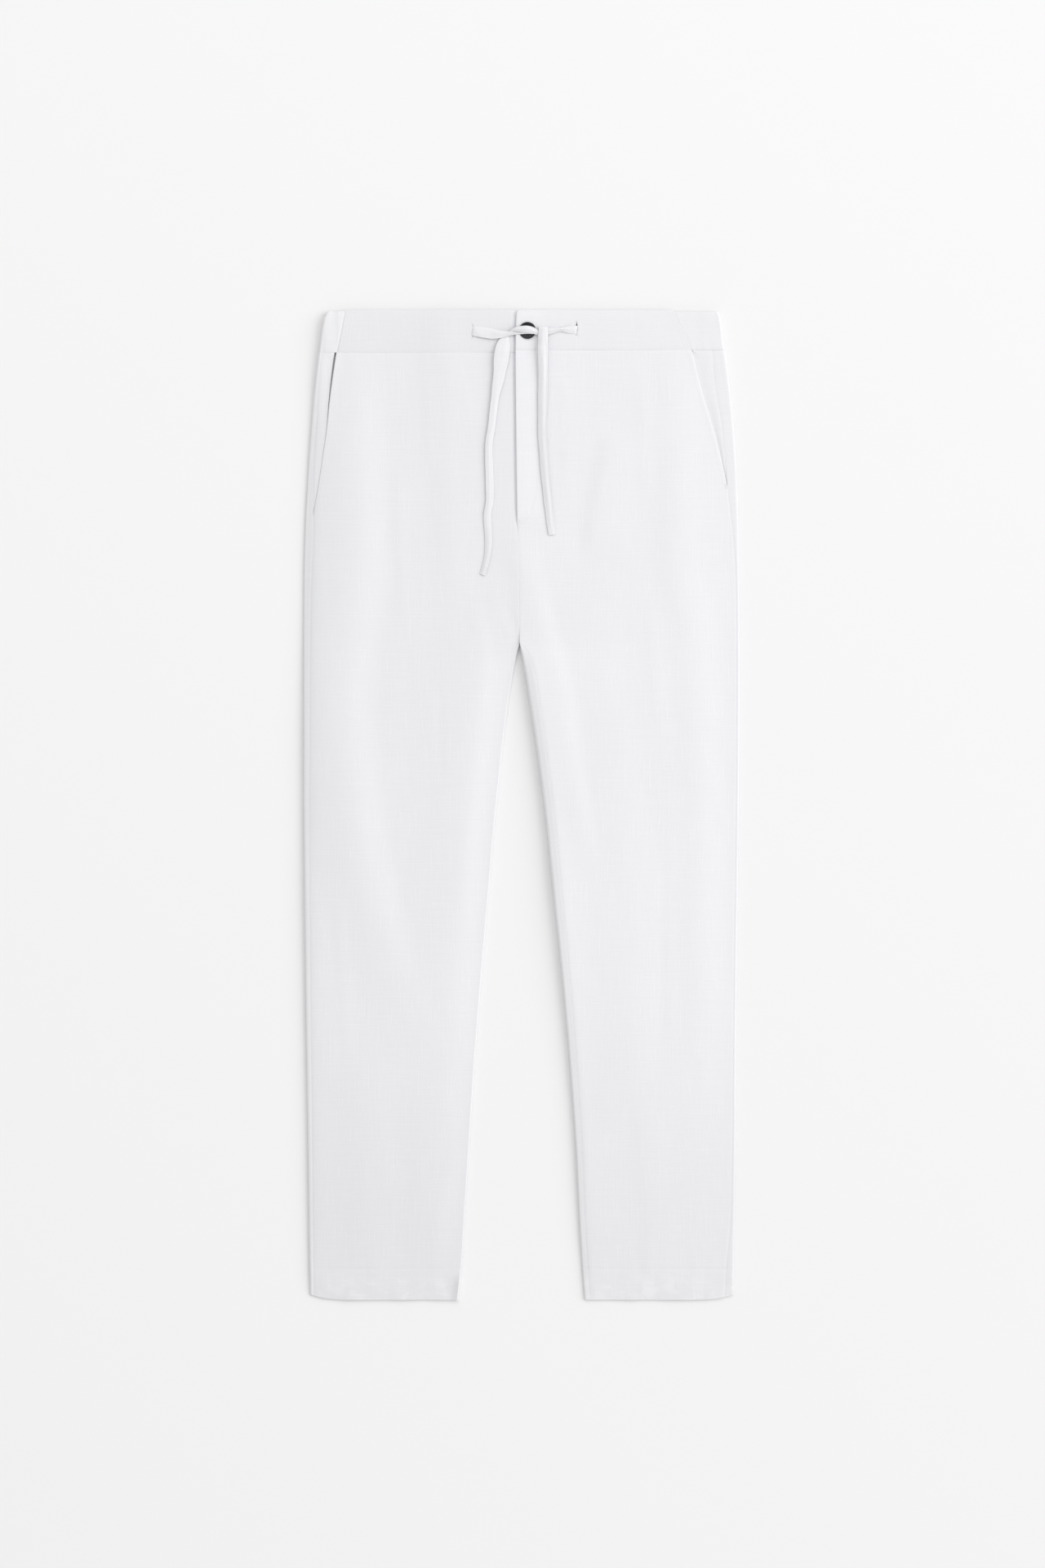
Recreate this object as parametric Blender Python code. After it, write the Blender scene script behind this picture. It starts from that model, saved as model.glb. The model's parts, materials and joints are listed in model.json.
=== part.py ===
"""Linen drawstring trousers laid flat on a table, front side up.

+X points to the wearer's left side, +Y to the waist and +Z up from the table. The origin is
the middle of the outline, on the table. Sizes in the tables are millimetres: "down" is the
distance below the waist's top edge, and an x is measured from the middle of the outline.

Every cloth piece is a wall of one thickness that runs through rows across the garment. The
lower layer lies flat on the table, the upper layer lies on it in long soft folds, and at the
sides one piece rolls over the edge and meets the next at a seam 0.3 mm wide.
"""
import math

import bmesh
import bpy
from mathutils import Vector

MM = 0.001

# Driving sizes, in millimetres.
LENGTH = 1049.0            # waist top to hem
CLOTH = 1.2                # leg panels, pocket facings and fly underlap
BAND = 2.0                 # waistband, two layers and the seam's turnings
HEM_CLOTH = 1.9            # turned hem, three layers pressed together
SEAM_GAP = 0.3
LAYER_GAP = 0.35           # between a piece and the one that lies on it
BAND_DEPTH_RIGHT = 45.2    # waist top to the waistband seam
BAND_DEPTH_LEFT = 42.3
FLY_DEPTH = 222.7          # waist top to the lower end of the fly
CROTCH = 353.4             # waist top to the point where the legs part
CROTCH_X = -2.0
HEM_DEPTH = 35.0
HEM_LIFT = 5.6             # how far the outer hem corner stands above the hem's lowest line
HEM_LIFT_REACH = 36.0
TURN_RADIUS = 2.8          # least radius of the rolled sides, seen from above
TURN_RADIUS_MOST = 4.4     # where the strip on top leaves room for it
PARTING_RADIUS = 0.4       # where the legs' inner sides begin, at the crotch
TURN_STEPS = 6
UNDER_STRIP = 3.0          # the right inseam lies this far under the edge

# The garment's outline at each side, as a distance from the middle.
SIDE_COLUMNS = ("down", "right", "left")
SIDES = (
    (0, 205.4, 208.0),
    (4, 208.0, 210.0),
    (11, 210.4, 211.5),
    (18, 211.9, 212.4),
    (35, 213.9, 214.4),
    (52, 216.2, 217.2),
    (87, 220.0, 221.5),
    (121, 222.7, 224.6),
    (156, 225.3, 227.2),
    (191, 227.3, 228.8),
    (225, 229.1, 229.8),
    (277, 230.5, 230.6),
    (364, 231.0, 231.1),
    (450, 231.1, 230.9),
    (537, 231.0, 230.3),
    (710, 229.1, 228.1),
    (883, 226.6, 226.8),
    (969, 225.6, 225.8),
    (1049, 224.2, 224.6),
)

# The inner outline of each leg, as an x.
INSIDE_COLUMNS = ("down", "right", "left")
INSIDES = (
    (353.4, -2.1, -1.9),
    (364, -5.0, -0.3),
    (381, -8.4, 2.9),
    (407, -12.9, 7.0),
    (433, -16.3, 11.2),
    (467, -20.5, 16.2),
    (502, -24.1, 20.9),
    (537, -27.8, 25.3),
    (580, -31.5, 29.7),
    (623, -35.2, 34.1),
    (710, -42.6, 43.1),
    (796, -49.4, 50.8),
    (883, -55.2, 57.2),
    (969, -60.6, 61.4),
    (1012, -63.2, 64.2),
    (1049, -67.2, 67.0),
)

# How far each side seam lies inside the outline, where the back rolls over onto the front.
SIDE_SEAM_COLUMNS = ("down", "right", "left")
SIDE_SEAMS = (
    (40, 3.5, 12.9),
    (80, 4.1, 15.2),
    (115, 5.0, 12.6),
    (150, 5.2, 11.6),
    (187, 6.2, 10.4),
    (215, 8.2, 8.0),
    (245, 9.1, 5.4),
    (290, 7.8, 3.6),
    (360, 7.0, 3.3),
    (540, 6.0, 3.3),
    (800, 5.0, 3.3),
    (960, 4.6, 4.2),
    (1015, 4.2, 8.0),
    (1049, 3.9, 9.2),
)

# The left inseam lies on the front: how far it is inside the leg's inner outline.
INSEAM_COLUMNS = ("down", "left")
INSEAMS = (
    (353.4, 0.0),
    (358, 4.0),
    (364, 7.4),
    (381, 10.6),
    (407, 11.2),
    (467, 10.4),
    (623, 9.2),
    (796, 7.4),
    (969, 6.2),
    (1049, 6.2),
)

# Slanted pocket mouths, as a distance from the middle.
RIGHT_MOUTH_COLUMNS = ("down", "out")
RIGHT_MOUTH = (
    (45, 196.2),
    (87, 202.2),
    (128, 206.7),
    (156, 210.8),
    (215, 219.6),
)
LEFT_MOUTH_COLUMNS = ("down", "out")
LEFT_MOUTH = (
    (42, 180.0),
    (82, 189.8),
    (110, 198.2),
    (134, 205.4),
    (187, 218.2),
)
MOUTH_LIFT_RIGHT = 0.7     # how far the mouth's edge gapes at its top
MOUTH_LIFT_LEFT = 0.3
MOUTH_LIFT_REACH = 16.0
FACING_TUCK = 14.0         # the facing reaches this far under the mouth's edge

# The fly: the edges of the two fronts and, below it, the centre seam, as an x.
CENTRE_COLUMNS = ("down", "right_edge", "left_edge")
CENTRE = (
    (0, -7.6, -4.8),
    (20, -8.4, -5.6),
    (45, -8.8, -5.9),
    (104, -8.0, -5.4),
    (156, -7.0, -4.9),
    (200, -6.3, -4.3),
    (222.7, -5.0, -4.0),
    (230, -3.7, -3.4),
    (260, -2.7, -2.4),
    (310, -2.2, -1.9),
    (353.4, -2.15, -1.85),
)
UNDERLAP_RIGHT = -14.0     # x of the underlap's two long edges
UNDERLAP_LEFT = 20.0
UNDERLAP_END = 4.0         # it reaches this far below the fly

# The slanted seams that join the front waistbands to the back one, as a distance from
# the middle, at the waist's top edge and at the waistband seam.
BAND_SEAM_RIGHT = (186.8, 195.6)
BAND_SEAM_LEFT = (160.2, 180.6)
BACK_BAND_DROP = 1.6       # the back waistband's top edge lies below the front's

# Height of the upper layer's face over the table.
HEIGHT_COLUMNS = ("down", "middle", "edge")
HEIGHTS = (
    (0, 5.6, 5.2),
    (22, 5.8, 5.6),
    (45, 5.6, 5.6),
    (120, 5.3, 5.6),
    (222, 5.1, 5.6),
    (300, 4.6, 5.5),
    (360, 4.3, 5.4),
    (480, 4.0, 5.4),
    (700, 3.7, 5.3),
    (900, 3.8, 5.2),
    (1014, 4.4, 5.1),
    (1049, 4.6, 5.0),
)
EDGE_SWELL = 17.0          # width over which the height falls from the edge to the middle
BAND_STEP = 0.35           # the waistband stands over the panels below it

# Long soft folds of the front: each runs from one point to another as a low ridge.
FOLD_COLUMNS = ("x_top", "down_top", "x_low", "down_low", "height", "reach")
FOLDS = (
    (-186, 330, -140, 790, 1.25, 34),
    (-96, 300, -78, 620, 0.65, 24),
    (-196, 700, -176, 1010, 0.85, 24),
    (-128, 790, -104, 1020, 0.75, 26),
    (-160, 70, -172, 300, 0.45, 30),
    (-84, 100, -96, 290, 0.40, 26),
    (46, 390, 62, 640, 0.80, 22),
    (122, 330, 124, 700, 1.10, 28),
    (166, 560, 160, 980, 0.95, 28),
    (96, 740, 104, 1010, 0.70, 24),
    (196, 260, 204, 560, 0.60, 22),
    (90, 90, 104, 300, 0.45, 30),
    (160, 90, 168, 260, 0.40, 24),
)

# Rows across the panels, as distances below the waist's top edge.
PANEL_ROWS = (
    66, 88, 110, 133, 156, 172, 187, 201, 215, 222.7, 230, 252, 278, 304, 330, 349, 353.4,
    358, 364, 372, 381, 393, 407, 433, 467, 502, 537, 580, 623, 666, 710, 753, 796, 839,
    883, 926, 969, 1000, 1013.2, 1014.8, 1034, 1049)
HEM_STEP_ROW = 1014.0

# Two buttonhole slits in the front waistbands, where the drawstring comes out.
SLIT_COLUMNS = ("x", "down_top", "down_low")
SLIT_RIGHT = (-51.9, 15.0, 29.6)
SLIT_LEFT = (58.3, 12.8, 25.8)
SLIT_HALF_WIDTH = 1.0

BUTTON_X = 6.2
BUTTON_DOWN = 22.1
BUTTON_RADIUS = 9.1
BUTTON_HEIGHT = 2.7
BUTTON_DISH = 0.6
BUTTON_SIDES = 28

# The drawstring is two flat tapes. Each comes out of its slit, goes once round the other
# over the button and hangs down: x, distance below the waist, height of its middle over
# the cloth, and width.
TAPE = 0.9
TAPE_COLUMNS = ("x", "down", "over", "width")
TAPE_FROM_RIGHT = (
    (-52.3, 22.3, -1.3, 7.6),
    (-52.0, 22.3, 0.1, 7.6),
    (-50.6, 22.4, 1.0, 7.8),
    (-44.0, 23.3, 1.1, 8.2),
    (-33.6, 24.9, 1.5, 7.6),
    (-24.0, 26.2, 2.2, 5.6),
    (-15.4, 26.7, 2.7, 3.4),
    (-8.0, 26.6, 3.4, 3.0),
    (1.0, 26.2, 3.9, 3.0),
    (7.4, 24.6, 3.9, 3.0),
    (11.6, 20.6, 3.9, 3.0),
    (15.8, 18.0, 4.2, 3.0),
    (20.0, 19.2, 4.3, 3.0),
    (21.9, 23.4, 3.9, 3.4),
    (21.8, 29.0, 3.0, 4.6),
    (22.2, 37.0, 1.9, 6.8),
    (22.7, 50.0, 1.2, 8.0),
    (23.9, 78.0, 0.9, 8.4),
    (23.7, 100.0, 0.8, 7.4),
    (24.4, 143.0, 0.8, 7.6),
    (25.8, 177.0, 0.8, 7.8),
    (29.2, 203.0, 0.8, 6.8),
    (30.9, 221.0, 0.8, 6.4),
    (31.7, 238.0, 0.8, 6.2),
)
TAPE_FROM_LEFT = (
    (58.7, 19.3, -1.3, 7.6),
    (58.4, 19.3, 0.1, 7.6),
    (57.0, 19.3, 1.0, 7.8),
    (50.0, 19.4, 1.1, 8.0),
    (40.0, 20.4, 1.4, 6.0),
    (32.2, 22.2, 1.9, 4.2),
    (26.0, 23.8, 2.3, 3.2),
    (19.6, 24.1, 2.6, 3.0),
    (14.0, 22.9, 4.8, 3.0),
    (8.6, 20.9, 5.4, 3.0),
    (1.0, 21.2, 4.6, 3.2),
    (-6.0, 22.2, 3.4, 3.2),
    (-11.6, 23.0, 1.7, 3.0),
    (-15.8, 26.2, 0.9, 3.0),
    (-17.4, 30.6, 1.0, 3.8),
    (-19.8, 37.6, 1.2, 6.4),
    (-22.6, 48.0, 1.1, 8.4),
    (-25.2, 67.0, 0.9, 8.6),
    (-29.8, 103.0, 0.8, 6.6),
    (-34.4, 143.0, 0.8, 8.0),
    (-34.0, 173.0, 0.8, 8.6),
    (-33.4, 195.0, 0.8, 8.4),
    (-36.0, 219.0, 0.8, 7.0),
    (-34.9, 239.0, 0.8, 6.8),
    (-37.0, 258.0, 0.8, 6.4),
    (-41.5, 280.3, 0.8, 6.2),
)
TAPE_STEPS = 2             # sections between two rows of a tape's table


def clear_scene():
    for obj in list(bpy.data.objects):
        bpy.data.objects.remove(obj, do_unlink=True)


def smooth_step(value):
    value = min(max(value, 0.0), 1.0)
    return value * value * (3.0 - 2.0 * value)


def column(table, names, name):
    place = names.index(name)
    return [row[place] for row in table]


def along(xs, ys, x):
    """Read a smooth curve through the points (xs, ys)."""
    if x <= xs[0]:
        return ys[0]
    if x >= xs[-1]:
        return ys[-1]
    i = 0
    while xs[i + 1] < x:
        i += 1

    def slope(k):
        low = max(k - 1, 0)
        high = min(k + 1, len(xs) - 1)
        return (ys[high] - ys[low]) / (xs[high] - xs[low])

    span = xs[i + 1] - xs[i]
    t = (x - xs[i]) / span
    rise = ys[i + 1] - ys[i]
    start = slope(i) * span
    end = slope(i + 1) * span
    return (ys[i] + t * start + t * t * (3 * rise - 2 * start - end)
            + t * t * t * (start + end - 2 * rise))


def reading(table, names, name, down):
    return along(column(table, names, "down"), column(table, names, name), down)


def side_x(side, down):
    """The outline at one side: side is -1 for the wearer's right and 1 for the left."""
    name = "right" if side < 0 else "left"
    return side * reading(SIDES, SIDE_COLUMNS, name, down)


def inside_x(side, down):
    name = "right" if side < 0 else "left"
    return reading(INSIDES, INSIDE_COLUMNS, name, down)


def side_seam_x(side, down):
    name = "right" if side < 0 else "left"
    return side_x(side, down) - side * reading(SIDE_SEAMS, SIDE_SEAM_COLUMNS, name, down)


def band_depth(side):
    return BAND_DEPTH_RIGHT if side < 0 else BAND_DEPTH_LEFT


def mouth_end(side):
    table = RIGHT_MOUTH if side < 0 else LEFT_MOUTH
    return table[-1][0]


def mouth_x(side, down):
    if side < 0:
        return -reading(RIGHT_MOUTH, RIGHT_MOUTH_COLUMNS, "out", down)
    return reading(LEFT_MOUTH, LEFT_MOUTH_COLUMNS, "out", down)


def centre_x(side, down):
    name = "right_edge" if side < 0 else "left_edge"
    return reading(CENTRE, CENTRE_COLUMNS, name, down)


def fold_height(x, down):
    """The sum of the low ridges at a place."""
    total = 0.0
    for x_top, down_top, x_low, down_low, height, reach in FOLDS:
        t = (down - down_top) / (down_low - down_top)
        if t <= 0.0 or t >= 1.0:
            continue
        ends = math.sin(math.pi * t) ** 0.7
        away = abs(x - (x_top + (x_low - x_top) * t)) / reach
        if away < 1.0:
            total += height * ends * math.cos(away * math.pi / 2) ** 2
    return total


def top_height(x, down):
    """Height of the upper layer's outer face over the table."""
    middle = reading(HEIGHTS, HEIGHT_COLUMNS, "middle", down)
    edge = reading(HEIGHTS, HEIGHT_COLUMNS, "edge", down)
    side = -1 if x < CROTCH_X else 1
    swell = math.exp(-((abs(side_x(side, down)) - abs(x)) / EDGE_SWELL) ** 2)
    if down > CROTCH:
        parted = smooth_step((down - CROTCH) / 30.0)
        inner = math.exp(-((x - inside_x(side, down)) / EDGE_SWELL) ** 2)
        swell = max(swell, parted * inner)
    return middle + (edge - middle) * swell + fold_height(x, down)


def hem_lift(x, down):
    """The hem's line rises a little to its outer corners."""
    side = -1 if x < 0 else 1
    share = 1.0 - (abs(side_x(side, LENGTH)) - abs(x)) / HEM_LIFT_REACH
    share = min(max(share, 0.0), 1.0)
    return HEM_LIFT * share * share * smooth_step((down - HEM_STEP_ROW) / HEM_DEPTH)


def place(x, down, z):
    """A table point as a point in metres."""
    return Vector((x * MM, (LENGTH / 2 - down + hem_lift(x, down)) * MM, z * MM))


def spread(start, end, count):
    return [start + (end - start) * k / count for k in range(count + 1)]


def top_run(start, end, count, down, cloth, lift=None):
    """Points across the upper layer: the outer face's place and the inner face's."""
    run = []
    for x in spread(start, end, count):
        z = top_height(x, down)
        if lift is not None:
            z += lift(x)
        run.append(((x, z), (x, z - cloth)))
    return run


def bottom_run(start, end, count, cloth):
    return [((x, 0.0), (x, cloth)) for x in spread(start, end, count)]


def side_radius(side, down):
    """The outer sides' radius, which the strip between seam and edge leaves room for."""
    name = "right" if side < 0 else "left"
    width = reading(SIDE_SEAMS, SIDE_SEAM_COLUMNS, name, down)
    return min(max(width - 0.8, TURN_RADIUS), TURN_RADIUS_MOST)


def turn(edge, side, down, cloth, radius):
    """A rolled side, from the upper layer down to the table; side is the way out in x."""
    height = top_height(edge - side * radius, down)
    inner_radius = max(radius - cloth, 0.2)
    run = []
    for k in range(TURN_STEPS + 1):
        angle = math.pi / 2 - math.pi * k / TURN_STEPS
        x_outer = edge - side * radius + side * radius * math.cos(angle)
        x_inner = edge - side * (cloth + inner_radius) + side * inner_radius * math.cos(angle)
        z_outer = height / 2 + height / 2 * math.sin(angle)
        z_inner = height / 2 + (height / 2 - cloth) * math.sin(angle)
        run.append(((x_outer, z_outer), (x_inner, z_inner)))
    return run


def parting_radius(down):
    """The legs' inner sides start sharp where they part and grow round."""
    share = smooth_step((down - CROTCH) / 28.0)
    return PARTING_RADIUS + (TURN_RADIUS - PARTING_RADIUS) * share


def material(name, color, roughness, metallic=0.0):
    mat = bpy.data.materials.new(name)
    mat.use_nodes = True
    shader = mat.node_tree.nodes["Principled BSDF"]
    shader.inputs["Base Color"].default_value = (*color, 1.0)
    shader.inputs["Roughness"].default_value = roughness
    shader.inputs["Metallic"].default_value = metallic
    return mat


def add_object(name, bm, mat, smooth_angle=40.0):
    bmesh.ops.recalc_face_normals(bm, faces=bm.faces)
    mesh = bpy.data.meshes.new(name)
    bm.to_mesh(mesh)
    bm.free()
    mesh.shade_smooth()
    mesh.set_sharp_from_angle(angle=math.radians(smooth_angle))
    mesh.materials.append(mat)
    obj = bpy.data.objects.new(name, mesh)
    bpy.context.collection.objects.link(obj)
    return obj


def cloth_wall(name, outer, inner, mat, present=None):
    """A closed wall between two grids of points, with the cells that present allows."""
    rows = len(outer) - 1
    columns = len(outer[0]) - 1
    bm = bmesh.new()
    made = {}

    def point(grid, i, k):
        key = (grid is outer, i, k)
        if key not in made:
            made[key] = bm.verts.new(grid[i][k])
        return made[key]

    def cell(i, k):
        inside = 0 <= i < rows and 0 <= k < columns
        return inside and (present is None or present(i, k))

    def rim(first, second):
        bm.faces.new((point(outer, *first), point(outer, *second),
                      point(inner, *second), point(inner, *first)))

    for i in range(rows):
        for k in range(columns):
            if not cell(i, k):
                continue
            corners = ((i, k), (i + 1, k), (i + 1, k + 1), (i, k + 1))
            bm.faces.new([point(outer, *c) for c in corners])
            bm.faces.new([point(inner, *c) for c in reversed(corners)])
            neighbours = ((i, k - 1), (i + 1, k), (i, k + 1), (i - 1, k))
            for side, neighbour in enumerate(neighbours):
                if not cell(*neighbour):
                    rim(corners[side], corners[(side + 1) % 4])
    return add_object(name, bm, mat)


def wall_through(name, rows, mat, present=None):
    """A wall through rows, each a pair: distance below the waist, and its run of points."""
    outer = [[place(o[0], down, o[1]) for o, _ in run] for down, run in rows]
    inner = [[place(i[0], down, i[1]) for _, i in run] for down, run in rows]
    return cloth_wall(name, outer, inner, mat, present)


def back_wall(name, side, rows, mat, present=None):
    """The same for a back panel, whose top edge slants to meet the other at the centre."""
    middle = (BAND_DEPTH_RIGHT + BAND_DEPTH_LEFT) / 2
    reach = abs(side_x(side, 44.0) - CROTCH_X)

    def drop(x, z, down):
        flat = smooth_step(2.0 - z)
        near = 1.0 - smooth_step((down - band_depth(side)) / 22.0)
        inward = 1.0 - abs(x - CROTCH_X) / reach
        return (middle - band_depth(side)) * max(inward, 0.0) * near * flat

    outer = []
    inner = []
    for down, run in rows:
        shifts = [drop(o[0], o[1], down) for o, _ in run]
        outer.append([place(o[0], down + s, o[1]) for (o, _), s in zip(run, shifts)])
        inner.append([place(i[0], down + s, i[1]) for (_, i), s in zip(run, shifts)])
    return cloth_wall(name, outer, inner, mat, present)


def panel_rows(side):
    first = band_depth(side) + SEAM_GAP / 2
    return (first, first + 9.0) + PANEL_ROWS


def cloth_at(down):
    return HEM_CLOTH if down > HEM_STEP_ROW else CLOTH


def front_outer_x(side, down):
    """The front's outer edge: the pocket's mouth, and the side seam below it."""
    clear = side * SEAM_GAP / 2
    if down < mouth_end(side):
        return mouth_x(side, down) - clear
    blend = smooth_step((down - mouth_end(side)) / 30.0)
    return mouth_x(side, down) * (1 - blend) + side_seam_x(side, down) * blend - clear


def mouth_lift(side, down):
    """How the mouth's edge stands up, as a height at each x of a row."""
    most = MOUTH_LIFT_RIGHT if side < 0 else MOUTH_LIFT_LEFT
    share = 1.0 - (down - band_depth(side)) / (mouth_end(side) - band_depth(side))
    height = most * smooth_step(share) if down > band_depth(side) + 5.0 else most * 0.4
    edge = front_outer_x(side, down)
    return lambda x: height * math.exp(-((x - edge) / MOUTH_LIFT_REACH) ** 2)


FRONT_STEPS = 13


def front_right_panel(mat):
    """The wearer's right front: its inner edge rolls under below the crotch."""
    rows = []
    downs = panel_rows(-1)
    for down in downs:
        cloth = cloth_at(down)
        start = front_outer_x(-1, down)
        if down < CROTCH:
            end = centre_x(-1, down)
            run = top_run(start, end, FRONT_STEPS, down, cloth, mouth_lift(-1, down))
            run += [run[-1]] * (TURN_STEPS + 1)
        else:
            edge = inside_x(-1, down)
            radius = parting_radius(down)
            run = top_run(start, edge - radius, FRONT_STEPS, down, cloth, mouth_lift(-1, down))
            under = turn(edge, 1, down, cloth, radius)
            end = edge - radius - UNDER_STRIP
            run = run[:-1] + under + [((end, 0.0), (end, cloth))]
        rows.append((down, run))
    first_parted = downs.index(CROTCH)
    return wall_through("front_right", rows, mat,
                        lambda i, k: k < FRONT_STEPS or i >= first_parted)


def front_left_panel(mat):
    """The wearer's left front: it ends on top, at the fly, the centre seam and the inseam."""
    rows = []
    for down in panel_rows(1):
        cloth = cloth_at(down)
        end = front_outer_x(1, down)
        start = centre_x(1, down)
        if down >= CROTCH:
            start = inseam_x(down) + SEAM_GAP / 2
        rows.append((down, top_run(start, end, FRONT_STEPS, down, cloth, mouth_lift(1, down))))
    return wall_through("front_left", rows, mat)


def inseam_x(down):
    """The left inseam, which stays clear of the rolled edge."""
    width = reading(INSEAMS, INSEAM_COLUMNS, "left", down)
    return inside_x(1, down) + max(width, parting_radius(down) + 0.5)


def top_strip(seam, edge, side, down, cloth, radius):
    """A rolled side with the strip that lies on top, from the seam to the table."""
    start = seam + side * SEAM_GAP / 2
    run = top_run(start, edge - side * radius, 1, down, cloth)
    return run[:1] + turn(edge, side, down, cloth, radius)


BACK_STEPS = 4


def back_right_panel(mat):
    """The wearer's right back: it rolls over the outer side onto the front."""
    rows = []
    for down in panel_rows(-1):
        cloth = cloth_at(down)
        edge = side_x(-1, down)
        radius = side_radius(-1, down)
        run = top_strip(side_seam_x(-1, down), edge, -1, down, cloth, radius)
        if down < CROTCH:
            end = CROTCH_X - SEAM_GAP / 2
        else:
            end = inside_x(-1, down) - parting_radius(down) - UNDER_STRIP - SEAM_GAP
        flat = bottom_run(edge + radius, end, BACK_STEPS, cloth)
        rows.append((down, run + flat[1:]))
    return back_wall("back_right", -1, rows, mat)


def back_left_panel(mat):
    """The wearer's left back: it rolls over the outer side and over the inseam side."""
    rows = []
    downs = panel_rows(1)
    for down in downs:
        cloth = cloth_at(down)
        edge = side_x(1, down)
        outer_radius = side_radius(1, down)
        run = top_strip(side_seam_x(1, down), edge, 1, down, cloth, outer_radius)
        start = edge - outer_radius
        if down < CROTCH:
            flat = bottom_run(start, CROTCH_X + SEAM_GAP / 2, BACK_STEPS, cloth)
            run += flat[1:] + [flat[-1]] * (TURN_STEPS + 1)
        else:
            inner_edge = inside_x(1, down)
            radius = parting_radius(down)
            flat = bottom_run(start, inner_edge + radius, BACK_STEPS, cloth)
            inner_side = top_strip(inseam_x(down), inner_edge, -1, down, cloth, radius)
            run += flat[1:-1] + inner_side[::-1]
        rows.append((down, run))
    first_parted = downs.index(CROTCH)
    before_roll = TURN_STEPS + 1 + BACK_STEPS
    return back_wall("back_left", 1, rows, mat,
                     lambda i, k: k < before_roll or i >= first_parted)


FACING_STEPS = 3


def pocket_facing(side, mat):
    """The side piece behind a pocket's mouth, tucked under the front."""
    name = "pocket_facing_right" if side < 0 else "pocket_facing_left"
    low_end = mouth_end(side)
    downs = [d for d in panel_rows(side) if d < low_end] + [low_end - 1.0]
    rows = []
    sink = CLOTH + LAYER_GAP
    for down in downs:
        seam = side_seam_x(side, down) - side * SEAM_GAP / 2
        mouth = mouth_x(side, down)
        tuck = mouth - side * FACING_TUCK
        width = max(side * (seam - mouth), 0.1)
        level = 1.0 - min(width / 5.0, 1.0)
        run = []
        for x in spread(seam, mouth, FACING_STEPS) + spread(mouth, tuck, FACING_STEPS)[1:]:
            share = level + (1.0 - level) * smooth_step(abs(x - seam) / (width * 0.8))
            z = top_height(x, down) - sink * share
            run.append(((x, z), (x, z - CLOTH)))
        rows.append((down, run))
    return wall_through(name, rows, mat)


def fly_underlap(mat):
    """The strip behind the fly's opening, from the waist's top to the fly's lower end."""
    rows = []
    sink = BAND - BAND_STEP + LAYER_GAP
    for down in (2.0, 22.0, 44.0, 66.0, 88.0, 110.0, 133.0, 156.0, 187.0, 215.0,
                 FLY_DEPTH + UNDERLAP_END):
        run = []
        for x in spread(UNDERLAP_RIGHT, UNDERLAP_LEFT, 4):
            z = top_height(x, max(down, BAND_DEPTH_RIGHT + SEAM_GAP)) - sink
            run.append(((x, z), (x, z - CLOTH)))
        rows.append((down, run))
    return wall_through("fly_underlap", rows, mat)


def band_height(x, down):
    return top_height(x, down) + BAND_STEP


def slanted(pair, side, down):
    share = down / band_depth(side)
    return side * (pair[0] + (pair[1] - pair[0]) * share)


def front_band(side, mat):
    """A front waistband from its slanted seam to the fly, with a slit for the drawstring."""
    name = "waistband_front_right" if side < 0 else "waistband_front_left"
    pair = BAND_SEAM_RIGHT if side < 0 else BAND_SEAM_LEFT
    slit_x, slit_top, slit_low = SLIT_RIGHT if side < 0 else SLIT_LEFT
    end = band_depth(side) - SEAM_GAP / 2
    downs = (0.0, 1.2, 7.0, slit_top, (slit_top + slit_low) / 2, slit_low, 37.0, end)
    corner = 3.2
    rows = []
    for down in downs:
        outer_end = slanted(pair, side, down) - side * SEAM_GAP / 2
        fly_end = centre_x(side, down)
        if down < corner:
            fly_end += side * (corner - math.sqrt(corner ** 2 - (corner - down) ** 2))
        stops = (spread(outer_end, slit_x + side * SLIT_HALF_WIDTH, 6)
                 + spread(slit_x - side * SLIT_HALF_WIDTH, fly_end, 4))
        run = []
        for x in stops:
            z = band_height(x, down)
            run.append(((x, z), (x, z - BAND)))
        rows.append((down, run))
    slit_rows = (downs.index(slit_top), downs.index(slit_low))
    return wall_through(name, rows, mat,
                        lambda i, k: not (slit_rows[0] <= i < slit_rows[1] and k == 6))


def band_turn(side, down):
    """The back waistband's rolled side with its strip on top, from the seam to the table."""
    pair = BAND_SEAM_RIGHT if side < 0 else BAND_SEAM_LEFT
    edge = side_x(side, down)
    seam = slanted(pair, side, down) + side * SEAM_GAP / 2
    run = []
    radius = TURN_RADIUS_MOST - 1.0
    for x in spread(seam, edge - side * radius, 3):
        z = band_height(x, down)
        run.append(((x, z), (x, z - BAND)))
    height = run[-1][0][1]
    inner_radius = radius - BAND
    for k in range(1, TURN_STEPS + 1):
        angle = math.pi / 2 - math.pi * k / TURN_STEPS
        run.append((
            (edge - side * radius * (1 - math.cos(angle)),
             height / 2 + height / 2 * math.sin(angle)),
            (edge - side * (radius - inner_radius * math.cos(angle)),
             height / 2 + (height / 2 - BAND) * math.sin(angle))))
    return run


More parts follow.
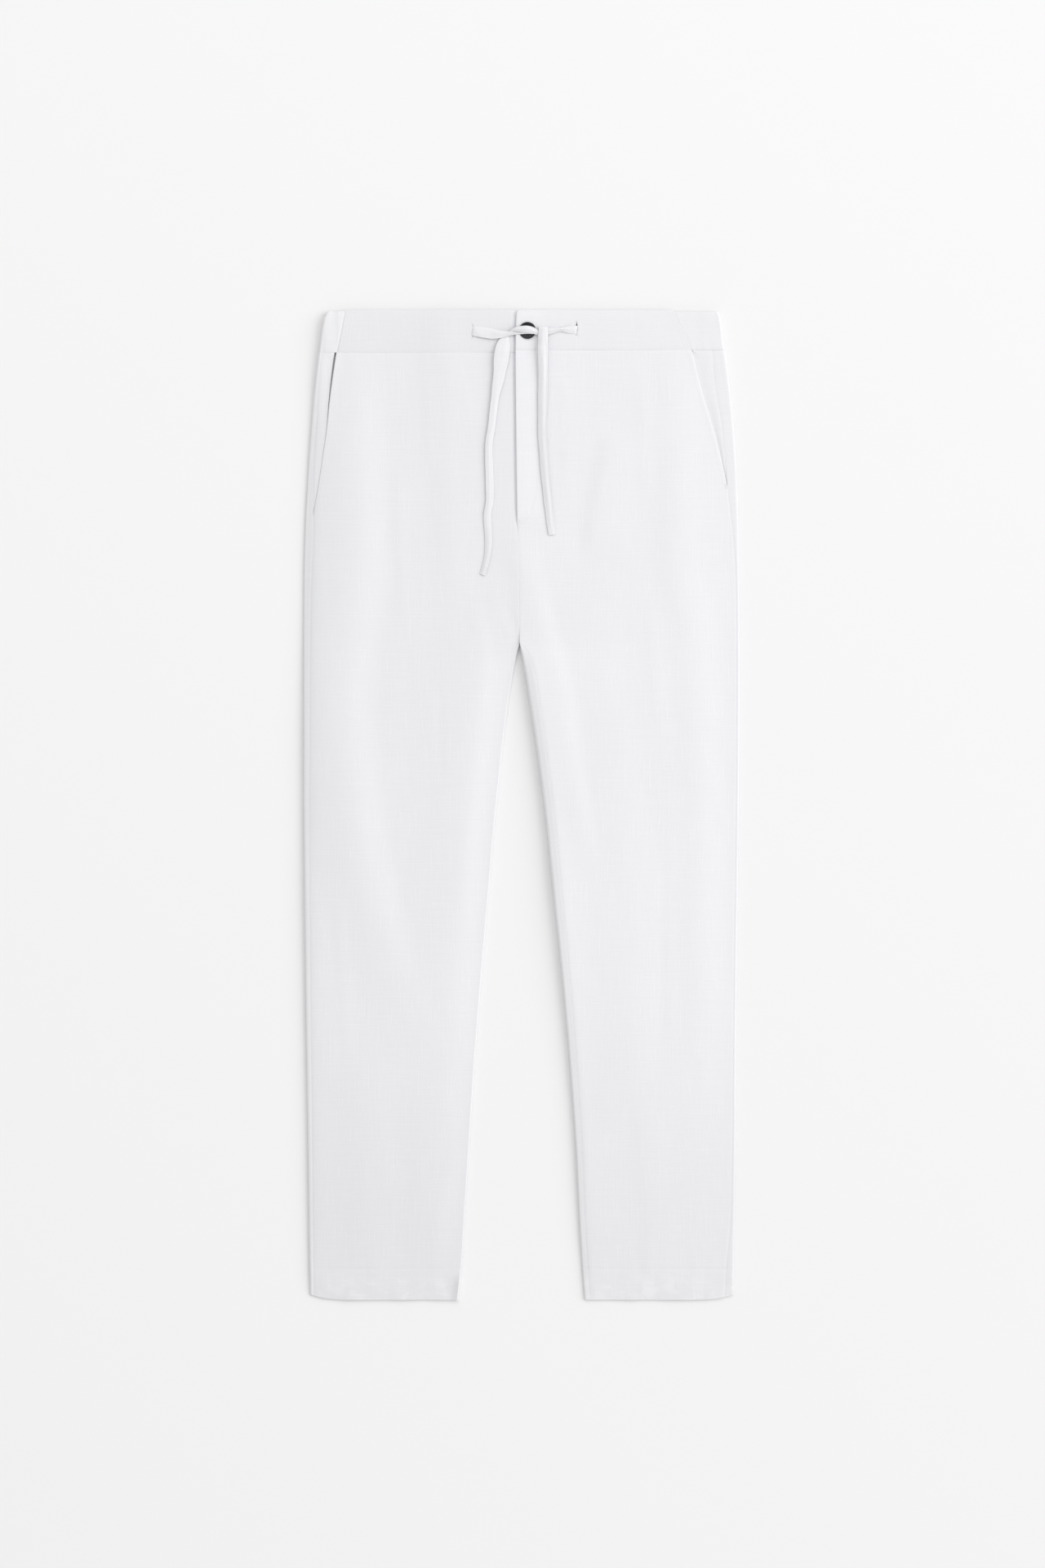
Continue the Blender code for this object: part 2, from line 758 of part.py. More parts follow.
def back_band(mat):
    """The back waistband: it rolls over both sides and ends at the slanted seams."""
    rows = []
    for share in (0.0, 0.1, 0.25, 0.5, 0.75, 1.0):
        low_right = BAND_DEPTH_RIGHT - SEAM_GAP / 2
        low_left = BAND_DEPTH_LEFT - SEAM_GAP / 2
        right = band_turn(-1, share * low_right)
        left = band_turn(1, share * low_left)
        flat = bottom_run(right[-1][0][0], left[-1][0][0], 8, BAND)
        run = right + flat[1:-1] + left[::-1]
        downs = [share * low_right] * len(right)
        for k in range(1, 8):
            downs.append(share * (low_right + (low_left - low_right) * k / 8))
        downs += [share * low_left] * len(left)
        rows.append((downs, run))
    outer = []
    inner = []
    for downs, run in rows:
        share = 1.0 - downs[0] / (BAND_DEPTH_RIGHT - SEAM_GAP / 2)
        drop = [BACK_BAND_DROP * share * smooth_step(3 - o[1] / 2) for o, _ in run]
        outer.append([place(o[0], d + s, o[1]) for (o, _), d, s in zip(run, downs, drop)])
        inner.append([place(i[0], d + s, i[1]) for (_, i), d, s in zip(run, downs, drop)])
    return cloth_wall("waistband_back", outer, inner, mat)


def button(mat):
    """A round button with a raised rim and a dished face."""
    base = band_height(BUTTON_X, BUTTON_DOWN) + SEAM_GAP
    profile = (
        (0.0, 0.0),
        (BUTTON_RADIUS * 0.86, 0.0),
        (BUTTON_RADIUS, BUTTON_HEIGHT * 0.35),
        (BUTTON_RADIUS, BUTTON_HEIGHT * 0.7),
        (BUTTON_RADIUS * 0.93, BUTTON_HEIGHT),
        (BUTTON_RADIUS * 0.8, BUTTON_HEIGHT),
        (BUTTON_RADIUS * 0.68, BUTTON_HEIGHT - BUTTON_DISH),
        (0.0, BUTTON_HEIGHT - BUTTON_DISH),
    )
    centre = place(BUTTON_X, BUTTON_DOWN, base)
    bm = bmesh.new()
    points = [bm.verts.new(centre + Vector((r * MM, 0.0, z * MM))) for r, z in profile]
    edges = [bm.edges.new(pair) for pair in zip(points, points[1:])]
    bmesh.ops.spin(bm, geom=points + edges, cent=centre, axis=(0.0, 0.0, 1.0),
                   angle=2 * math.pi, steps=BUTTON_SIDES, use_duplicate=False)
    bmesh.ops.remove_doubles(bm, verts=bm.verts, dist=0.01 * MM)
    return add_object("button", bm, mat)


def cloth_under(x, down):
    side = -1 if x < CROTCH_X else 1
    if down < band_depth(side):
        return band_height(x, down)
    share = smooth_step((down - band_depth(side)) / 8.0)
    return top_height(x, down) + BAND_STEP * (1.0 - share)


def tape(name, table, mat):
    """A flat woven tape along its route, with a pointed oval section."""
    marks = list(range(len(table)))
    curves = [column(table, TAPE_COLUMNS, c) for c in ("x", "down", "over", "width")]
    stops = [k / TAPE_STEPS for k in range((len(table) - 1) * TAPE_STEPS + 1)]
    centres = []
    widths = []
    for stop in stops:
        x, down, over, width = (along(marks, curve, stop) for curve in curves)
        centres.append(place(x, down, cloth_under(x, down) + over))
        widths.append(width * MM)
    bm = bmesh.new()
    rings = []
    for k, centre in enumerate(centres):
        ahead = centres[min(k + 1, len(centres) - 1)] - centres[max(k - 1, 0)]
        ahead.normalize()
        across = Vector((0.0, 0.0, 1.0)).cross(Vector((ahead.x, ahead.y, 0.0))).normalized()
        up = ahead.cross(across).normalized()
        half = widths[k] / 2
        thick = TAPE * MM / 2
        shape = ((1.0, 0.0), (0.72, 1.0), (-0.72, 1.0), (-1.0, 0.0), (-0.72, -1.0), (0.72, -1.0))
        rings.append([bm.verts.new(centre + across * (half * a) + up * (thick * b))
                      for a, b in shape])
    for first, second in zip(rings, rings[1:]):
        for k in range(len(first)):
            following = (k + 1) % len(first)
            bm.faces.new((first[k], first[following], second[following], second[k]))
    bm.faces.new(rings[0])
    bm.faces.new(rings[-1])
    return add_object(name, bm, mat)


LINEN = (0.86, 0.865, 0.88)
TAPE_COLOR = (0.88, 0.88, 0.885)
CHARCOAL = (0.012, 0.012, 0.014)


def build():
    clear_scene()
    front_right_panel(material("front_right_linen", LINEN, 0.9))
    front_left_panel(material("front_left_linen", LINEN, 0.9))
    back_right_panel(material("back_right_linen", LINEN, 0.9))
    back_left_panel(material("back_left_linen", LINEN, 0.9))
    pocket_facing(-1, material("right_facing_linen", LINEN, 0.9))
    pocket_facing(1, material("left_facing_linen", LINEN, 0.9))
    fly_underlap(material("underlap_linen", LINEN, 0.9))
    front_band(-1, material("right_band_linen", LINEN, 0.9))
    front_band(1, material("left_band_linen", LINEN, 0.9))
    back_band(material("back_band_linen", LINEN, 0.9))
    button(material("charcoal_plastic", CHARCOAL, 0.35))
    tape("drawstring_right", TAPE_FROM_RIGHT, material("right_tape_linen", TAPE_COLOR, 0.85))
    tape("drawstring_left", TAPE_FROM_LEFT, material("left_tape_linen", TAPE_COLOR, 0.85))


build()
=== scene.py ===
"""Linen drawstring trousers laid flat: cloth, sewing, button and drawstring.

Lengths in the tables are millimetres. "down" is the distance below the waist's top edge, x runs
to the wearer's left from the middle, and heights are over the table. A side is -1 for the
wearer's right and 1 for the left. The first column of a table for read_off is down.
"""
import json
import math

import bmesh
import bpy
import numpy as np
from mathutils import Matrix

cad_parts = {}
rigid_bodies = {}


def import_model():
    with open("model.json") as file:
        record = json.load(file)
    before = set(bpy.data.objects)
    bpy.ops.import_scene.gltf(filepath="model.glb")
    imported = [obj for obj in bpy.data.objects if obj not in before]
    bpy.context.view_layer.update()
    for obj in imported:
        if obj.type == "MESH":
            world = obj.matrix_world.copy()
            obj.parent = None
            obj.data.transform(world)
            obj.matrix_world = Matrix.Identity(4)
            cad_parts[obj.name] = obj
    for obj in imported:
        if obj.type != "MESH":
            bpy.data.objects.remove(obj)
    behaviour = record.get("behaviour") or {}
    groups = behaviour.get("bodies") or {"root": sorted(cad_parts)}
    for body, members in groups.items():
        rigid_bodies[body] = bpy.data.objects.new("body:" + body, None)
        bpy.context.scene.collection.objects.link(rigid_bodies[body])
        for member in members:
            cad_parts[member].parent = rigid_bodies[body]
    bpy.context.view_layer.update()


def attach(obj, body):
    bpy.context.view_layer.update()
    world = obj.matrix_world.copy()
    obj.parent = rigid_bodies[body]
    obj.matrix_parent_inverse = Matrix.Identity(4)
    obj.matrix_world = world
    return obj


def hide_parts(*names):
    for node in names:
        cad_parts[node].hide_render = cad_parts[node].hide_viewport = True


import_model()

MM = 0.001
LENGTH = 1049.0
CLOTH = 1.0
HEM_CLOTH = 1.4
BAND = 1.9                 # the waistband's thickness
BAND_STEP = 0.35           # how far it stands above the legs' cloth
BAND_DEPTH = {-1: 45.2, 1: 42.3}
FLY_DEPTH = 222.7
CROTCH = 353.4
CROTCH_X = -2.0
HEM_TOP = 1014.0
HEM_LIFT = 5.6             # the hem curves up towards its outer corners
HEM_LIFT_REACH = 36.0
CURL_REACH = 9.0           # the right leg's inner hem corner curls up a little
CURL_RISE = 2.6
TURN_RADIUS = 1.8
TURN_RADIUS_MOST = 2.8
PARTING_RADIUS = 0.4
UNDER_STRIP = 3.0
BUTT = 0.012               # half the gap between two cloths at a seam

# The outer edges, the inner edges and the side seams' distance from the outer edges: the right
# side and then the left. The inseam's distance is the left leg's.
SIDE_NAME = {-1: "right", 1: "left"}
SIDE_COLUMN = {-1: 1, 1: 2}
SIDES = (
    (0, 205.4, 208.0), (4, 208.0, 210.0), (11, 210.4, 211.5), (18, 211.9, 212.4),
    (35, 213.9, 214.4), (52, 216.2, 217.2), (87, 220.0, 221.5), (121, 222.7, 224.6),
    (156, 225.3, 227.2), (191, 227.3, 228.8), (225, 229.1, 229.8), (277, 230.5, 230.6),
    (364, 231.0, 231.1), (450, 231.1, 230.9), (537, 231.0, 230.3), (710, 229.1, 228.1),
    (883, 226.6, 226.8), (969, 225.6, 225.8), (1049, 224.2, 224.6),
)
INSIDES = (
    (353.4, -2.1, -1.9), (364, -5.0, -0.3), (381, -8.4, 2.9), (407, -12.9, 7.0),
    (433, -16.3, 11.2), (467, -20.5, 16.2), (502, -24.1, 20.9), (537, -27.8, 25.3),
    (580, -31.5, 29.7), (623, -35.2, 34.1), (710, -42.6, 43.1), (796, -49.4, 50.8),
    (883, -55.2, 57.2), (969, -60.6, 61.4), (1012, -63.2, 64.2), (1049, -67.2, 67.0),
)
SIDE_SEAMS = (
    (40, 3.5, 12.9), (80, 4.1, 15.2), (115, 5.0, 12.6), (150, 5.2, 11.6), (187, 6.2, 10.4),
    (215, 8.2, 8.0), (245, 9.1, 5.4), (290, 7.8, 3.6), (360, 7.0, 3.3), (540, 6.0, 3.3),
    (800, 5.0, 3.3), (960, 4.6, 4.2), (1015, 4.2, 8.0), (1049, 3.9, 9.2),
)
INSEAMS = (
    (353.4, 0.0), (358, 4.0), (364, 7.4), (381, 10.6), (407, 11.2), (467, 10.4),
    (623, 9.2), (796, 7.4), (969, 6.2), (1049, 6.2),
)
MOUTHS = {
    -1: ((45, 196.2), (87, 202.2), (128, 206.7), (156, 210.8), (215, 219.6)),
    1: ((42, 180.0), (82, 189.8), (110, 198.2), (134, 205.4), (187, 218.2)),
}
MOUTH_END = {side: mouth[-1][0] for side, mouth in MOUTHS.items()}
MOUTH_LIFT = {-1: 0.6, 1: 0.25}
MOUTH_LIFT_REACH = 5.0
FACING_TUCK = 14.0
CENTRE = (
    (0, -5.4), (20, -6.3), (45, -6.7), (104, -6.2), (156, -5.7), (200, -5.1), (222.7, -4.7),
    (230, -4.0), (260, -2.7), (310, -2.0), (353.4, -2.0),
)
FLY_RISE = ((0, 1.9), (45, 2.3), (110, 2.2), (200, 1.9), (219, 1.5), (226, 0.5), (234, 0.0))
FLY_RISE_REACH = 20.0
UNDERLAP_TOP = 1.6
UNDERLAP_RIGHT = -14.0
UNDERLAP_LEFT = 20.0
UNDERLAP_SINK = 1.95       # how far its face lies below the front's
BAND_SEAM = {-1: (186.8, 195.6), 1: (160.2, 180.6)}     # how far out, at the top and below
BACK_BAND_DROP = 1.6
SLANT_DIP = {-1: 0.32, 1: 0.12}
SLITS = {-1: (-51.9, 15.0, 29.6), 1: (58.3, 12.8, 25.8)}    # x, then down at both ends
SLIT_HALF = {-1: 0.45, 1: 0.75}

# Height of the upper face, right and left: at mid-leg, at the outer edge, at the inner edge.
HEIGHTS = (
    (0, 4.7, 4.7, 5.0, 4.6, 4.6, 4.6), (9, 5.8, 5.8, 6.2, 5.2, 5.4, 5.4),
    (22, 6.4, 6.4, 7.0, 4.8, 5.4, 5.4), (45, 6.6, 6.6, 6.6, 4.8, 5.4, 5.4),
    (120, 6.9, 6.9, 4.4, 3.4, 5.4, 5.4), (222, 7.0, 7.0, 3.9, 3.2, 5.4, 5.8),
    (300, 7.2, 7.2, 3.9, 3.2, 5.4, 7.0), (350, 7.3, 7.3, 4.4, 3.2, 4.5, 8.6),
    (366, 7.5, 7.5, 4.6, 3.2, 4.5, 10.6), (381, 7.6, 7.8, 4.8, 3.2, 4.5, 12.2),
    (407, 7.8, 8.1, 5.1, 3.2, 4.4, 13.0), (450, 8.1, 8.2, 5.4, 3.2, 4.3, 13.0),
    (537, 8.4, 8.1, 5.4, 3.2, 4.3, 13.0), (620, 8.4, 7.8, 5.3, 3.2, 4.2, 12.6),
    (710, 7.9, 7.2, 4.9, 3.2, 4.1, 10.9), (796, 7.2, 6.6, 4.5, 3.1, 4.0, 8.8),
    (883, 6.4, 5.8, 4.1, 2.9, 3.9, 7.2), (960, 5.8, 5.1, 3.8, 2.6, 3.6, 5.8),
    (1014, 4.7, 4.7, 3.6, 3.6, 3.7, 4.3), (1040, 3.4, 3.4, 3.3, 3.3, 3.3, 3.4),
    (1049, 2.5, 2.5, 2.5, 2.5, 2.5, 2.5),
)
INNER_SWELL = 38.0
EDGE_SWELL = 22.0
LEFT_EDGE_SWELL = 46.0
# The left leg's inner side, full where the seams meet at the crotch: radius of its roll, and
# how far the edge lies below the crest just inside it.
INNER_ROLL = (
    (353.4, 0.4, 0.0), (366, 2.6, 1.6), (381, 3.2, 2.6), (407, 3.4, 3.0), (450, 3.2, 3.0),
    (537, 3.0, 2.8), (620, 2.8, 2.5), (710, 2.6, 2.1), (883, 2.2, 1.7), (1014, 2.0, 1.0),
    (1049, 1.4, 0.4),
)
INNER_DROP_REACH = 7.0
OUTER_DROP = ((20, 0.0), (60, 0.6), (120, 1.3), (330, 1.5), (480, 0.8), (700, 0.4), (1020, 0.0))
OUTER_DROP_REACH = 9.0     # how far the right side's fall towards its edge goes in

# Long soft folds of the front: height, reach to the wearer's right and left of the crest,
# then (down, x) along the crest.
FOLDS = (
    (3.0, 56, 40, ((-20, -182), (44, -181), (78, -179), (251, -176), (338, -182), (424, -188),
                   (511, -182), (597, -168), (684, -145), (744, -126), (805, -110))),
    (0.84, 30, 30, ((-30, -86), (44, -84), (78, -80), (165, -77), (277, -73), (335, -70))),
    (0.99, 72, 22, ((251, -38), (338, -42), (424, -49), (528, -58), (597, -64), (700, -72))),
    (0.84, 40, 42, ((770, -163), (857, -165), (943, -163), (1012, -160), (1070, -158))),
    (1.22, 30, 21, ((215, 0), (243, 1), (321, 17), (398, 38), (476, 49), (554, 64), (615, 75))),
    (1.22, 20, 46, ((121, 98), (139, 95), (178, 88), (221, 81), (250, 78), (275, 77))),
    (1.22, 62, 44, ((251, 79), (295, 79), (381, 83), (468, 94), (554, 106), (684, 112),
                   (814, 118), (900, 126), (969, 135))),
    (0.99, 30, 32, ((10, 168), (44, 167), (78, 165), (277, 166), (338, 180), (476, 189),
                   (554, 193), (649, 190), (770, 196), (857, 196), (943, 193))),
    (0.68, 60, 60, ((-60, -64), (10, -66), (60, -72), (150, -84))),
    (0.46, 20, 30, ((830, 128), (900, 132), (960, 138), (1060, 142))),
)
# Finer creases: a minus height is a trough.
CREASES = (
    (0.27, 10, 14, ((36, -104), (90, -100), (180, -98))),
    (0.3, 14, 14, ((50, 128), (130, 130), (225, 133))),
    (-0.27, 4, 4, ((378, -88), (430, -87), (510, -85))),
    (-0.3, 10, 10, ((285, -42), (340, -34), (395, -26))),
    (-0.38, 8, 8, ((312, -16), (335, -9), (358, -3))),
    (0.23, 14, 14, ((860, -60), (940, -84), (1030, -96))),
    (-0.23, 10, 10, ((560, 150), (680, 148), (800, 150))),
    (0.23, 12, 12, ((60, -60), (130, -56), (230, -52))),
    (0.17, 12, 12, ((60, 44), (140, 48), (230, 50))),
    (0.3, 9, 12, ((160, -132), (260, -128), (360, -124))),
    (0.27, 10, 12, ((600, -196), (700, -190), (820, -180))),
    (0.23, 10, 14, ((300, 132), (380, 140), (470, 146))),
)
# Creases of the hidden side, pressed up from the table: x and down at both ends, height, reach.
BACK_CREASES = (
    (-150, 120, -120, 420, 0.45, 20), (120, 150, 96, 430, 0.40, 22),
    (-170, 430, -140, 800, 0.50, 24), (-80, 380, -96, 700, 0.35, 16),
    (150, 420, 140, 760, 0.45, 22), (84, 470, 112, 860, 0.35, 18),
    (-110, 780, -150, 1020, 0.40, 22), (180, 700, 166, 1000, 0.40, 20),
    (-40, 80, -20, 330, 0.30, 16), (40, 90, 16, 320, 0.30, 16),
    (-12, 330, -70, 400, 0.35, 12), (10, 334, 66, 404, 0.35, 12),
)

# The tapes: x, down, height over the cloth, width, arch, tilt, and a crease's place and height.
TAPE = 0.6
TAPE_WIDTH = 8.5
TAPE_FROM_RIGHT = (
    (-52.5, 22.3, -1.4, 9.6, 0.2, 0, 0.3, 0.0),
    (-52.3, 22.4, -0.5, 9.8, 0.2, 0, 0.3, 0.0),
    (-51.6, 22.5, 0.3, 10.0, 0.3, -2, 0.3, 0.0),
    (-49.8, 22.8, 0.9, 10.4, 0.4, -4, 0.4, 0.2),
    (-46.0, 23.3, 1.2, 10.9, 0.5, -7, 0.5, 0.3),
    (-38.0, 24.4, 1.5, 11.7, 0.5, -9, 0.5, 0.3),
    (-31.0, 25.4, 1.8, 11.4, 0.6, -8, 0.4, 0.3),
    (-23.3, 25.9, 2.4, 8.8, 0.8, -5, 0.2, 0.2),
    (-16.3, 25.6, 2.6, 5.8, 0.8, -2, 0.1, -0.2),
    (-11.2, 25.3, 2.9, 3.8, 0.7, 0, 0.0, 0.0),
    (-4.0, 24.9, 3.2, 3.0, 0.6, 0, 0.0, 0.0),
    (2.0, 24.6, 3.5, 2.8, 0.6, 0, 0.0, 0.0),
    (7.4, 24.4, 3.5, 2.8, 0.6, 0, 0.0, 0.0),
    (12.0, 24.6, 3.0, 3.0, 0.6, 0, 0.0, 0.0),
    (16.6, 25.2, 1.7, 4.2, 0.5, 0, 0.0, 0.0),
    (20.4, 25.0, 0.9, 5.6, 0.3, 0, 0.0, 0.0),
    (22.6, 22.6, 0.9, 7.4, 0.2, 0, 0.0, 0.0),
    (23.1, 20.0, 1.6, 9.0, 0.2, 0, 0.0, 0.0),
    (23.2, 18.6, 3.1, 9.6, 0.2, 0, 0.0, 0.0),
    (23.1, 20.2, 4.7, 10.0, 0.6, 0, 0.1, 0.0),
    (22.9, 24.0, 5.2, 10.4, 0.8, 0, -0.2, 0.0),
    (22.7, 31.6, 5.4, 10.6, 0.9, 0, -0.3, -0.2),
    (22.5, 43.7, 5.2, 10.6, 0.9, 0, -0.6, -0.4),
    (22.6, 58.0, 4.6, 10.4, 0.8, 2, -0.65, -0.5),
    (22.7, 78.0, 3.8, 10.2, 0.7, 5, -0.65, -0.6),
    (22.3, 104.0, 3.4, 9.8, 0.6, 8, -0.65, -0.6),
    (21.9, 126.0, 3.1, 9.4, 0.4, 9, -0.65, -0.6),
    (23.2, 150.0, 2.8, 9.0, 0.4, 9, -0.65, -0.6),
    (25.3, 177.0, 2.5, 8.8, 0.4, 9, -0.65, -0.7),
    (27.6, 200.0, 2.1, 8.6, 0.4, 8, -0.65, -0.7),
    (29.5, 217.0, 1.7, 8.0, 0.4, 5, -0.6, -0.6),
    (32.1, 238.3, 1.2, 7.2, 0.3, 0, 0.0, -0.2),
)
TAPE_FROM_LEFT = (
    (58.6, 21.1, -1.4, 8.0, 0.2, 0, 0.0, 0.0),
    (58.4, 21.1, -0.5, 8.0, 0.2, 0, 0.0, 0.0),
    (57.7, 21.0, 0.3, 8.0, 0.3, 0, 0.0, 0.0),
    (55.8, 20.9, 0.8, 8.0, 0.4, 0, 0.0, 0.1),
    (51.0, 20.9, 1.1, 7.8, 0.5, 0, 0.1, 0.2),
    (45.6, 20.8, 1.4, 5.8, 0.7, 0, 0.1, 0.3),
    (40.7, 20.9, 1.6, 4.2, 0.8, 0, 0.0, 0.2),
    (34.0, 21.9, 1.9, 5.4, 0.7, 0, -0.2, 0.2),
    (27.6, 23.1, 2.3, 6.8, 0.6, 0, -0.2, 0.2),
    (22.0, 24.2, 2.6, 6.4, 0.6, 0, 0.0, 0.0),
    (17.8, 24.5, 3.3, 5.2, 0.6, 0, 0.3, -0.3),
    (13.6, 22.9, 4.3, 6.2, 0.7, 0, 0.3, -0.7),
    (9.6, 21.5, 5.1, 7.2, 0.8, 2, 0.6, -0.6),
    (5.0, 20.9, 5.5, 7.5, 0.8, 3, 0.8, -0.2),
    (0.0, 20.8, 5.2, 6.6, 0.8, 3, 0.0, 0.2),
    (-5.4, 21.0, 4.6, 5.0, 0.8, 2, 0.0, 0.2),
    (-9.6, 22.1, 3.6, 3.2, 0.7, 0, 0.0, 0.0),
    (-12.6, 24.0, 2.1, 2.8, 0.6, 0, 0.0, 0.0),
    (-14.6, 26.6, 0.9, 3.8, 0.4, 0, 0.0, 0.0),
    (-16.6, 30.4, 1.2, 8.4, 0.4, -2, -0.5, -0.3),
    (-18.4, 35.4, 1.9, 13.4, 0.4, -4, -0.6, -0.6),
    (-20.2, 43.5, 2.6, 15.9, 0.4, -5, -0.65, -0.8),
    (-21.8, 54.0, 2.8, 15.6, 0.4, -5, -0.6, -0.6),
    (-24.0, 71.0, 2.7, 12.4, 0.4, -5, -0.2, -0.2),
    (-26.8, 85.4, 2.6, 9.6, 0.4, -5, 0.0, -0.1),
    (-28.6, 97.0, 2.5, 8.2, 0.4, -5, 0.0, -0.1),
    (-30.0, 109.0, 2.4, 7.7, 0.4, -5, 0.0, -0.2),
    (-32.0, 126.0, 2.2, 7.6, 0.4, -5, -0.1, -0.2),
    (-34.6, 144.0, 1.9, 7.8, 0.4, -5, -0.2, -0.2),
    (-34.0, 175.0, 1.7, 8.4, 0.4, -4, -0.2, -0.3),
    (-33.6, 201.0, 1.5, 8.4, 0.4, -3, -0.2, -0.3),
    (-36.2, 219.0, 1.4, 7.8, 0.4, 0, -0.1, -0.3),
    (-34.9, 243.0, 1.3, 7.6, 0.4, 4, 0.0, -0.3),
    (-36.6, 262.0, 1.3, 7.0, 0.4, 10, 0.0, -0.2),
    (-41.6, 280.6, 1.2, 6.2, 0.3, 14, 0.0, 0.0),
)
TAPE_STEPS = 7
TAPE_SIDES = 16

BUTTON_X = 6.2
BUTTON_DOWN = 22.1
BUTTON_RADIUS = 9.1
BUTTON_HEIGHT = 2.7
BUTTON_HOLE_AT = 1.75
BUTTON_HOLE_RADIUS = 0.85
BUTTON_SHANK = 0.15        # from the waistband's face to the button
# From its edge inwards: the width of a ring, and how far the face inside it is raised.
BUTTON_RINGS = ((0.5, 0.12), (1.3, 0.0), (0.55, -0.65), (1.2, -0.12), (2.0, 0.10))

STITCH_LIFT = 0.06
HEM_STITCHES = 0.8         # below the hem's top
BAR_PITCH = 0.5
SLIT_BAR_PITCH = 0.55


# ---- curves and soft shapes ----

def along(xs, ys, x):
    """A smooth curve through the points (xs, ys), read at x."""
    xs = np.asarray(xs, float)
    ys = np.asarray(ys, float)
    x = np.clip(x, xs[0], xs[-1])
    places = np.arange(len(xs))
    low = np.maximum(places - 1, 0)
    high = np.minimum(places + 1, len(xs) - 1)
    slopes = (ys[high] - ys[low]) / (xs[high] - xs[low])
    i = np.clip(np.searchsorted(xs, x, side="right") - 1, 0, len(xs) - 2)
    span = xs[i + 1] - xs[i]
    t = (x - xs[i]) / span
    rise = ys[i + 1] - ys[i]
    start = slopes[i] * span
    end = slopes[i + 1] * span
    return (ys[i] + t * start + t * t * (3 * rise - 2 * start - end)
            + t ** 3 * (start + end - 2 * rise))


def read_off(table, down, column=1):
    return along([row[0] for row in table], [row[column] for row in table], down)


def smooth_step(value):
    value = np.clip(value, 0.0, 1.0)
    return value * value * (3.0 - 2.0 * value)


def hump(distance, width):
    """1 at distance 0, and soon 0 beyond the width on both sides."""
    return np.exp(-(distance / width) ** 2)


def crest(away):
    """A fold's round profile: 1 at its crest, 0 from its reach on."""
    return np.where(away < 1, np.cos(away * np.pi / 2) ** 2, 0.0)


LATTICE = np.random.default_rng(20).random((97, 89)) * 2 - 1


def soft_noise(u, v):
    """Smooth unevenness from -1 to 1, about one swell to a unit."""
    u, v = np.broadcast_arrays(np.asarray(u, float), np.asarray(v, float))
    iu = np.floor(u).astype(int)
    iv = np.floor(v).astype(int)
    fu = smooth_step(u - iu)
    fv = smooth_step(v - iv)

    def side_at(step):
        near = LATTICE[iu % 97, (iv + step) % 89]
        return near * (1 - fu) + LATTICE[(iu + 1) % 97, (iv + step) % 89] * fu

    return side_at(0) * (1 - fv) + side_at(1) * fv


def running_sum(steps):
    """Distances along a line, from the lengths of its steps."""
    return np.concatenate(((0.0,), np.cumsum(steps)))


# ---- the garment's outline and faces ----

def side_x(side, down):
    return side * read_off(SIDES, down, SIDE_COLUMN[side])


def inside_x(side, down):
    return read_off(INSIDES, down, SIDE_COLUMN[side])


def side_seam_x(side, down):
    return side_x(side, down) - side * read_off(SIDE_SEAMS, down, SIDE_COLUMN[side])


def side_radius(side, down):
    width = read_off(SIDE_SEAMS, down, SIDE_COLUMN[side])
    return np.clip(width - 0.8, TURN_RADIUS, TURN_RADIUS_MOST)


def parting_radius(side, down):
    """The inner sides turn tightly at the crotch; below it the left leg's is the fuller."""
    if side > 0:
        return read_off(INNER_ROLL, down)
    share = smooth_step((down - CROTCH) / 28.0)
    return PARTING_RADIUS + (TURN_RADIUS - PARTING_RADIUS) * share


def inseam_x(down):
    return inside_x(1, down) + max(read_off(INSEAMS, down), parting_radius(1, down) + 0.5)


def mouth_x(side, down):
    """The pocket's folded edge, which runs into the side seam at its lower end."""
    end, out = MOUTHS[side][-1]
    miss = side_seam_x(side, end) - side * out
    return side * read_off(MOUTHS[side], down) + miss * smooth_step((down - end + 40) / 40.0)


def centre_x(side, down):
    """The left front's folded fly edge, which the right front meets just under it."""
    return read_off(CENTRE, down) + side * BUTT


def fly_rise(distance, down):
    """The folded fly edge is thick, so it stands above the right front."""
    return read_off(FLY_RISE, down) * hump(distance, FLY_RISE_REACH)


def fold_sum(folds, x, down):
    """Soft ridges that run down the garment along their crests."""
    total = 0.0 * (x + down)
    for height, reach_right, reach_left, line in folds:
        downs = [point[0] for point in line]
        middle = read_off(line, down)
        share = (down - downs[0]) / (downs[-1] - downs[0])
        ends = smooth_step(share / 0.22) * smooth_step((1 - share) / 0.28)
        away = np.abs(x - middle) / np.where(x < middle, reach_right, reach_left)
        total = total + height * ends * crest(away)
    return total


def ridge_sum(folds, x, down):
    """Soft ridges along straight lines."""
    total = 0.0 * (x + down)
    for x_top, down_top, x_low, down_low, height, reach in folds:
        dx = x_low - x_top
        dd = down_low - down_top
        size = dx * dx + dd * dd
        t = ((x - x_top) * dx + (down - down_top) * dd) / size
        ends = np.where((t > 0) & (t < 1), np.sin(np.pi * np.clip(t, 0, 1)) ** 0.8, 0.0)
        away = np.abs((x - x_top) * dd - (down - down_top) * dx) / math.sqrt(size) / reach
        total = total + height * ends * crest(away)
    return total


